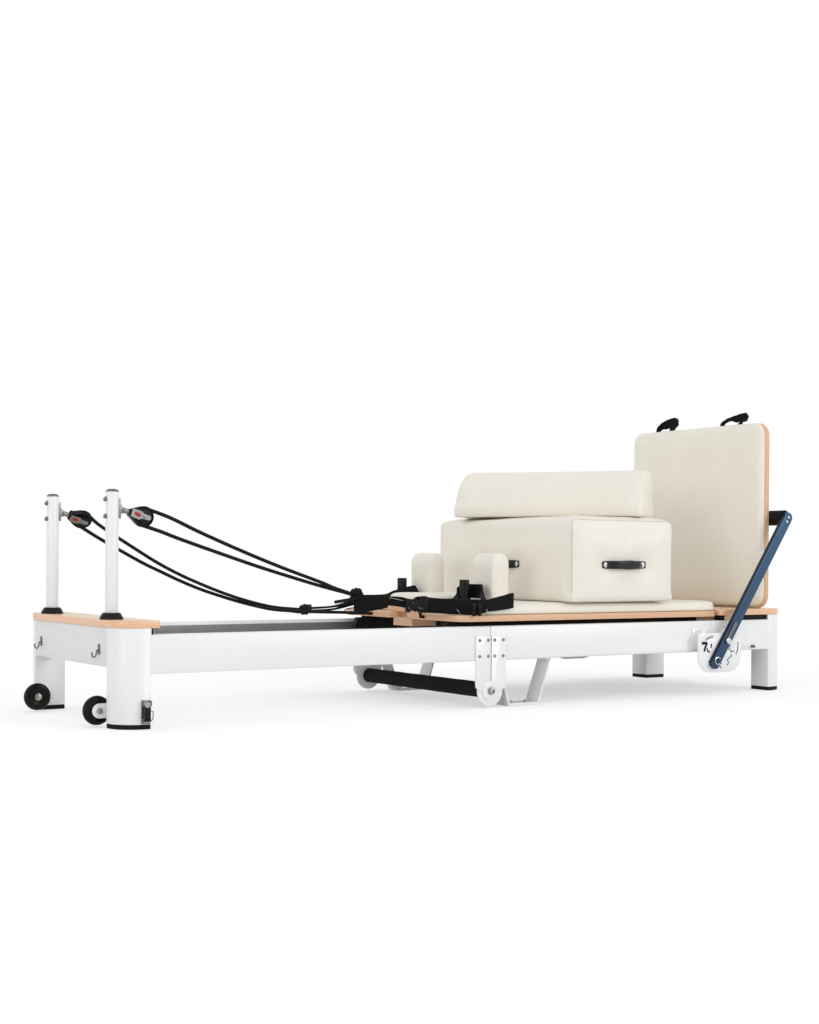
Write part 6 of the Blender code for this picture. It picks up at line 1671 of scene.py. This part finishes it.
NEAR_FOLD = [(1.020, 0.3385, 0.2955, 0.034, 0.004, 0), (1.0565, 0.3385, 0.2994, 0.0361, 0.004, 0),
             (1.1062, 0.3385, 0.3056, 0.0401, 0.004, 0), (1.135, 0.3385, 0.3105, 0.0435, 0.004, 0),
             (1.150, 0.3380, 0.3130, 0.0445, 0.004, 0), (1.1555, 0.3338, 0.3135, 0.0445, 0.004, 0),
             (1.150, 0.3296, 0.3130, 0.044, 0.004, 0), (1.120, 0.3294, 0.3075, 0.041, 0.004, 0),
             (1.080, 0.3294, 0.3020, 0.037, 0.004, 0)]
FAR_LOOP = [(0.760, 0.1890, 0.2790, 0.0075, 0.0045, 0), (0.8374, 0.1860, 0.2825, 0.0065, 0.0045, 0),
            (0.8821, 0.1840, 0.2905, 0.0085, 0.0045, 0), (0.910, 0.1810, 0.2990, 0.012, 0.004, 0),
            (0.955, 0.1710, 0.3100, 0.014, 0.004, 0.6), (1.0226, 0.1520, 0.3180, 0.016, 0.004, 1.2),
            (1.0574, 0.1480, 0.3256, 0.022, 0.004, 0.75), (1.1047, 0.1460, 0.3345, 0.023, 0.004, 0.35),
            (1.1318, 0.1500, 0.3375, 0.0235, 0.004, 0.2), (1.1495, 0.1630, 0.3320, 0.022, 0.004, 0.6),
            (1.150, 0.1850, 0.3230, 0.020, 0.004, 1.1), (1.130, 0.2010, 0.3150, 0.022, 0.004, 1.4),
            (1.090, 0.2065, 0.3115, 0.022, 0.004, 1.5), (1.030, 0.2050, 0.3110, 0.022, 0.004, 1.5),
            (0.970, 0.2030, 0.3000, 0.020, 0.004, 1.0), (0.910, 0.1990, 0.2870, 0.012, 0.004, 0.3),
            (0.850, 0.1950, 0.2745, 0.0065, 0.004, 0), (0.760, 0.1910, 0.2710, 0.0065, 0.004, 0)]
ROPE_TAIL = {"near": (-0.080, 0.015, -0.023), "far": (-0.090, 0.020, 0.003)}


def from_head(points, sign):
    """Points measured from the head end, on the near or the far side."""
    return [Vector((HEAD_X + x, sign * y, z)) for x, y, z in points]


def knot_at(side, sign):
    x, y, z = KNOT_PLACE[side]
    return Vector((x, sign * y, z))


def rope_route(side, sign):
    """The rope from its knot up to the sheave, round it, and back down to the carriage board's edge."""
    frame_of = block_frame(side, sign)
    into = frame_of.inverted()
    up, down = from_head(ROPE_TOP[side], sign), from_head(ROPE_LOW[side], sign)
    turns = []
    for point, way in ((up[-1], 1), (down[0], -1)):
        p = into @ point - Vector((SHEAVE_REACH, 0, 0))
        turns.append(degrees(atan2(p.z, p.x) + way * acos(GROOVE / Vector((p.x, p.z)).length)))
    wrap = [frame_of @ Vector((SHEAVE_REACH + u, 0, v))
            for u, v in arc(0, 0, GROOVE, turns[0], turns[1] + 360, 18)]
    first = knot_at(side, sign) - Vector((0.006, 0, 0))
    last = Vector((CARRIAGE_X - CLEAR, sign * ROPE_END_Y, (BOARD_LOW + BOARD_TOP) / 2))
    straight = Vector((0.012, 0, 0))
    going = [first] + smooth_route([first - straight] + up + [wrap[0]], 0.008)
    coming = smooth_route([wrap[-1]] + down + [last - straight], 0.008) + [last]
    return going[:-1] + wrap + coming[1:]


def blended(thing, name, finish, replaces=()):
    """A piece that hangs between the posts and the carriage, its place worked into its mesh."""
    return declared(thing, name, look(finish), lambda piece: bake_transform(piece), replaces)


def knot_wraps(centre, sign, rope):
    """A stopper knot: the rope wound three turns round itself and crossed over."""
    r = rope / 2
    points = []
    for k in range(66):
        a = tau * 2.75 * k / 65
        x = -0.0140 + 0.0280 * k / 65
        reach = r * 2.5 * sqrt(1 - (x / 0.0175) ** 2)
        points.append(centre + Vector((x, sign * reach * cos(a), reach * sin(a))))
    wraps = round_tube(points, r, "wraps", 14)
    cross = [centre + Vector(p) for p in ((-0.015, -0.005 * sign, -0.012), (-0.005, -0.0145 * sign, -0.009),
                                          (0.005, -0.0155 * sign, 0.004), (0.014, -0.007 * sign, 0.012))]
    over = round_tube(smooth_route(cross, 0.003), r * 0.95, "over", 14)
    core = round_tube([centre + Vector((x, 0, 0)) for x in (-0.018, -0.006, 0.006, 0.018)],
                      [(0, r * 1.05), (0.5, r * 2.0), (1, r * 1.05)], "core", 14)
    return [wraps, over, core]


class REFORMER_OT_ropes(bpy.types.Operator):
    """Lay the two braided ropes from the hand loops over the sheaves to the carriage, with their knots"""

    bl_idname = "reformer.ropes"
    bl_label = "Ropes"

    def execute(self, context):
        sizes = context.scene.reformer_sizes
        for side, sign in SIDES:
            knot = knot_at(side, sign)
            pieces = knot_wraps(knot, sign, sizes.rope)
            dx, dy, dz = ROPE_TAIL[side]
            start = knot + Vector((0.004, sign * 0.008, -0.009))
            tip = knot + Vector((dx, sign * dy, dz))
            tail = smooth_route([start, start.lerp(tip, 0.35) + Vector((0, 0, -0.002)), tip], 0.005)
            pieces.append(round_tube(tail, sizes.rope / 2 * 0.97, "tail", 14))
            made = blended(joined(pieces, "knot"), "rope_knot_" + side, "braid")
            points = rope_route(side, sign)[::-1]
            rope = round_tube(points, sizes.rope / 2, "rope", 14)
            blended(rope, "rope_braid_" + side, "braid", ("rope_" + side,))
        return {"FINISHED"}


class REFORMER_OT_hand_loops(bpy.types.Operator):
    """Make the webbing hand loops with their padded grips, rings and buckle"""

    bl_idname = "reformer.hand_loops"
    bl_label = "Hand loops"

    def execute(self, context):
        for side, sign in SIDES:
            rows = NEAR_LOOP if side == "near" else FAR_LOOP
            knot = knot_at(side, sign)
            tip = from_head([rows[0][:3]], sign)[0]
            neck = round_tube(smooth_route([knot, knot.lerp(tip, 0.5) + Vector((0, 0, -0.002)), tip], 0.004),
                              [(0, 0.0072), (0.5, 0.0066), (1, 0.0050)], "neck", 14)
            bands = [band(rows, sign, "loop"), neck]
            if side == "near":
                bands += [band(BUNDLE, sign, "bundle"), band(NEAR_FOLD, sign, "fold")]
                bands.append(ribbon([Vector((HEAD_X + x, sign * 0.191, z)) for x, z in
                                     ((0.700, 0.301), (0.730, 0.306), (0.770, 0.309), (0.800, 0.311))],
                                    [(0, 0.036), (1, 0.030)], 0.006, "filling"))
                thin = [(0.693, 0.190, 0.2935), (0.680, 0.189, 0.2925), (0.668, 0.189, 0.2900),
                        (0.6615, 0.189, 0.2850), (0.668, 0.190, 0.2795), (0.682, 0.191, 0.2755),
                        (0.697, 0.191, 0.2760)]
                bands.append(round_tube(smooth_route(from_head(thin, sign), 0.003), 0.0018, "thin", 10))
            blended(joined(bands, "loop"), "hand_loop_strap_" + side, "webbing",
                    ("hand_loop_" + side,))
        sign = -1
        turn = Matrix.Rotation(radians(-19), 4, "Z")
        at = Matrix.Translation((HEAD_X + 0.878, sign * 0.2225, 0.3000)) @ turn
        parts = [bar((-0.022, -0.0050, -0.0165), (0.004, 0.0050, 0.0165), 0.0020),
                 bar((0.003, -0.0085, -0.0150), (0.031, 0.0085, 0.0150), 0.0055),
                 bar((-0.0265, -0.0070, -0.0195), (-0.0205, 0.0070, 0.0195), 0.0022),
                 bar((-0.001, -0.0070, -0.0195), (0.0050, 0.0070, 0.0195), 0.0022),
                 bar((-0.0215, -0.0060, -0.0215), (-0.0120, 0.0010, -0.0150), 0.0018),
                 bar((0.014, -0.0100, -0.0235), (0.043, 0.0100, 0.0265), 0.0085)]
        buckle = joined(parts, "buckle")
        buckle.data.transform(at)
        blended(buckle, "hand_loop_buckle", "plastic")
        levels = (0.2730, 0.2830, 0.2930, 0.3025)
        ends = [round_tube(from_head([(x, y, z) for z in levels], sign), r, "end", 20)
                for x, y, r in ((1.0105, 0.3390, 0.0075), (1.0222, 0.3475, 0.0065))]
        blended(joined(ends, "ends"), "hand_loop_ends", "tyre")
        glints = [ring((HEAD_X + x, sign * y, z), radius, 0.0013, normal, "ring")
                  for x, y, z, radius, normal in ((0.9895, 0.2860, 0.2810, 0.0088, (-0.81, 0.23, -0.59)),
                                                  (1.0490, 0.3475, 0.2815, 0.0095, (-0.93, 0.33, -0.29)))]
        # Painted highlight: a thin steel wire along the strap's top edge stands in for the light along that
        # edge.
        glints.append(round_tube(from_head(((0.8035, 0.2000, 0.3210), (0.820, 0.2035, 0.3185),
                                            (0.836, 0.2075, 0.3150), (0.853, 0.2115, 0.3118)), sign),
                                 0.0010, "bar", 8))
        for u, v in ((-0.0035, 0.0055), (-0.0180, -0.0085)):
            glints.append(turned([(0, 0), (0.0018, 0), (0.0013, 0.0008), (0, 0.0010)], "dot", 16,
                                 at @ Matrix.Translation((u, -0.0070, v)) @ ACROSS))
        # Painted highlight: a thin steel wire on the buckle stands in for a light line on it.
        line = [at @ Vector((u, -0.0092, v))
                for u, v in ((0.008, -0.0070), (0.018, -0.0095), (0.028, -0.0115))]
        glints.append(round_tube(line, 0.0007, "line", 8))
        blended(joined(glints, "glints"), "hand_loop_rings", "steel")
        return {"FINISHED"}


# Light, floor and camera
class REFORMER_OT_stage(bpy.types.Operator):
    """Set up the pale floor, the soft studio light and the camera"""

    bl_idname = "reformer.stage"
    bl_label = "Studio"

    def execute(self, context):
        stage = context.scene.reformer_stage
        scene = context.scene
        scene.view_settings.view_transform = "Standard"
        self.world(scene, stage)
        lamps = (("key_light", stage.sun, Vector((0.45, -0.80, 0.30)).normalized()),
                 ("fill_light", stage.fill, Vector((-1.0, -0.35, 0.10)).normalized()))
        self.floor(stage, stage.sky + sum(energy * way.z for _, energy, way in lamps) / pi)
        for name, energy, way in lamps:
            sun = set_up(bpy.data.lights.new(name, "SUN"), energy=energy, angle=radians(26))
            named(sun, name).rotation_euler = way.to_track_quat("Z", "Y").to_euler()
        self.camera(scene, stage)
        return {"FINISHED"}

    def seen(self, nodes):
        """One where the camera, a reflection or glass looks; nought where light is gathered."""
        path = nodes.add("LightPath").outputs
        value = path["Is Camera Ray"]
        for name in ("Is Glossy Ray", "Is Transmission Ray"):
            value = nodes.add("Math", {0: value, 1: path[name]}, operation="MAXIMUM").outputs[0]
        return value

    def world(self, scene, stage):
        world = bpy.data.worlds.new("studio")
        scene.world = world
        world.use_nodes = True
        world.node_tree.nodes.clear()
        nodes = Nodes(world.node_tree)
        light, white = (nodes.add("Background", {"Color": (1, 1, 1, 1), "Strength": strength}).outputs[0]
                        for strength in (stage.sky, 1.0))
        mix = nodes.add("MixShader", {0: self.seen(nodes), 1: light, 2: white})
        nodes.add("OutputWorld", {"Surface": mix.outputs[0]})

    def floor(self, stage, lit):
        """Paper that glows to white where nothing shades it; lit is the light that reaches it there."""
        mesh = bpy.data.meshes.new("floor")
        reach = 25.0
        mesh.from_pydata([(-reach, -reach, -0.0005), (reach, -reach, -0.0005), (reach, reach, -0.0005),
                          (-reach, reach, -0.0005)], [], [(0, 1, 2, 3)])
        plane = named(mesh, "floor")
        paper = bpy.data.materials.new("pale_floor")
        paper.use_nodes = True
        paper.node_tree.nodes.clear()
        nodes = Nodes(paper.node_tree)
        glow = nodes.add("Emission", {"Color": (1, 1, 1, 1), "Strength": 1.015 - stage.shadow * lit})
        shaded, bounce = (nodes.add("BsdfDiffuse", {"Color": (tone, tone, tone, 1)}).outputs[0]
                          for tone in (stage.shadow, 0.8))
        both = nodes.add("AddShader", {0: glow.outputs[0], 1: shaded})
        mix = nodes.add("MixShader", {0: self.seen(nodes), 1: bounce, 2: both.outputs[0]})
        nodes.add("OutputMaterial", {"Surface": mix.outputs[0]})
        mesh.materials.append(paper)

    def camera(self, scene, stage):
        lens = set_up(bpy.data.cameras.new("camera"), sensor_width=36.0, lens=stage.lens, shift_y=stage.rise,
                      clip_end=200.0)
        eye = named(lens, "camera")
        right = Vector((cos(stage.heading), -sin(stage.heading), 0))
        ahead = Vector((sin(stage.heading), cos(stage.heading), 0))
        rise = Vector((0, 0, 1))
        x = right * cos(stage.roll) + rise * sin(stage.roll)
        y = rise * cos(stage.roll) - right * sin(stage.roll)
        turn = Matrix((x, y, -ahead)).transposed().to_4x4()
        eye.matrix_world = Matrix.Translation(stage.eye) @ turn
        scene.camera = eye


# The add-on
class REFORMER_PT_sidebar(bpy.types.Panel):
    """Lists the steps that dress the reformer, with their sizes and colours"""

    bl_label = "Reformer"
    bl_idname = "REFORMER_PT_sidebar"
    bl_space_type = "VIEW_3D"
    bl_region_type = "UI"
    bl_category = "Reformer"

    def draw(self, context):
        column = self.layout.column(align=True)
        for step in STEPS:
            column.operator(step.bl_idname)
        for group in (context.scene.reformer_looks, context.scene.reformer_sizes,
                      context.scene.reformer_stage):
            box = self.layout.box()
            for name in group.bl_rna.properties.keys():
                if name not in ("rna_type", "name"):
                    box.prop(group, name)


GROUPS = {"reformer_looks": ReformerLooks, "reformer_sizes": ReformerSizes, "reformer_stage": ReformerStage}
STEPS = (REFORMER_OT_stage, REFORMER_OT_ropes, REFORMER_OT_hand_loops, REFORMER_OT_frame, REFORMER_OT_decks,
         REFORMER_OT_posts, REFORMER_OT_pulleys, REFORMER_OT_wheels, REFORMER_OT_hinge, REFORMER_OT_supports,
         REFORMER_OT_footbar, REFORMER_OT_latch, REFORMER_OT_carriage, REFORMER_OT_carriage_pad,
         REFORMER_OT_headrest, REFORMER_OT_shoulder_rests, REFORMER_OT_jump_board, REFORMER_OT_sitting_box,
         REFORMER_OT_bolster)


def register():
    for kind in (*GROUPS.values(), *STEPS, REFORMER_PT_sidebar):
        bpy.utils.register_class(kind)
    for name, kind in GROUPS.items():
        setattr(bpy.types.Scene, name, bpy.props.PointerProperty(type=kind))


def unregister():
    for name in GROUPS:
        delattr(bpy.types.Scene, name)
    for kind in (REFORMER_PT_sidebar, *reversed(STEPS), *GROUPS.values()):
        bpy.utils.unregister_class(kind)


def corners(box):
    return [[float(value) for value in corner] for corner in box]


def main():
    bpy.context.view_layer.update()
    register()
    for step in STEPS:
        group, call = step.bl_idname.split(".")
        getattr(getattr(bpy.ops, group), call)()
    clear_templates()


if __name__ == "__main__":
    main()
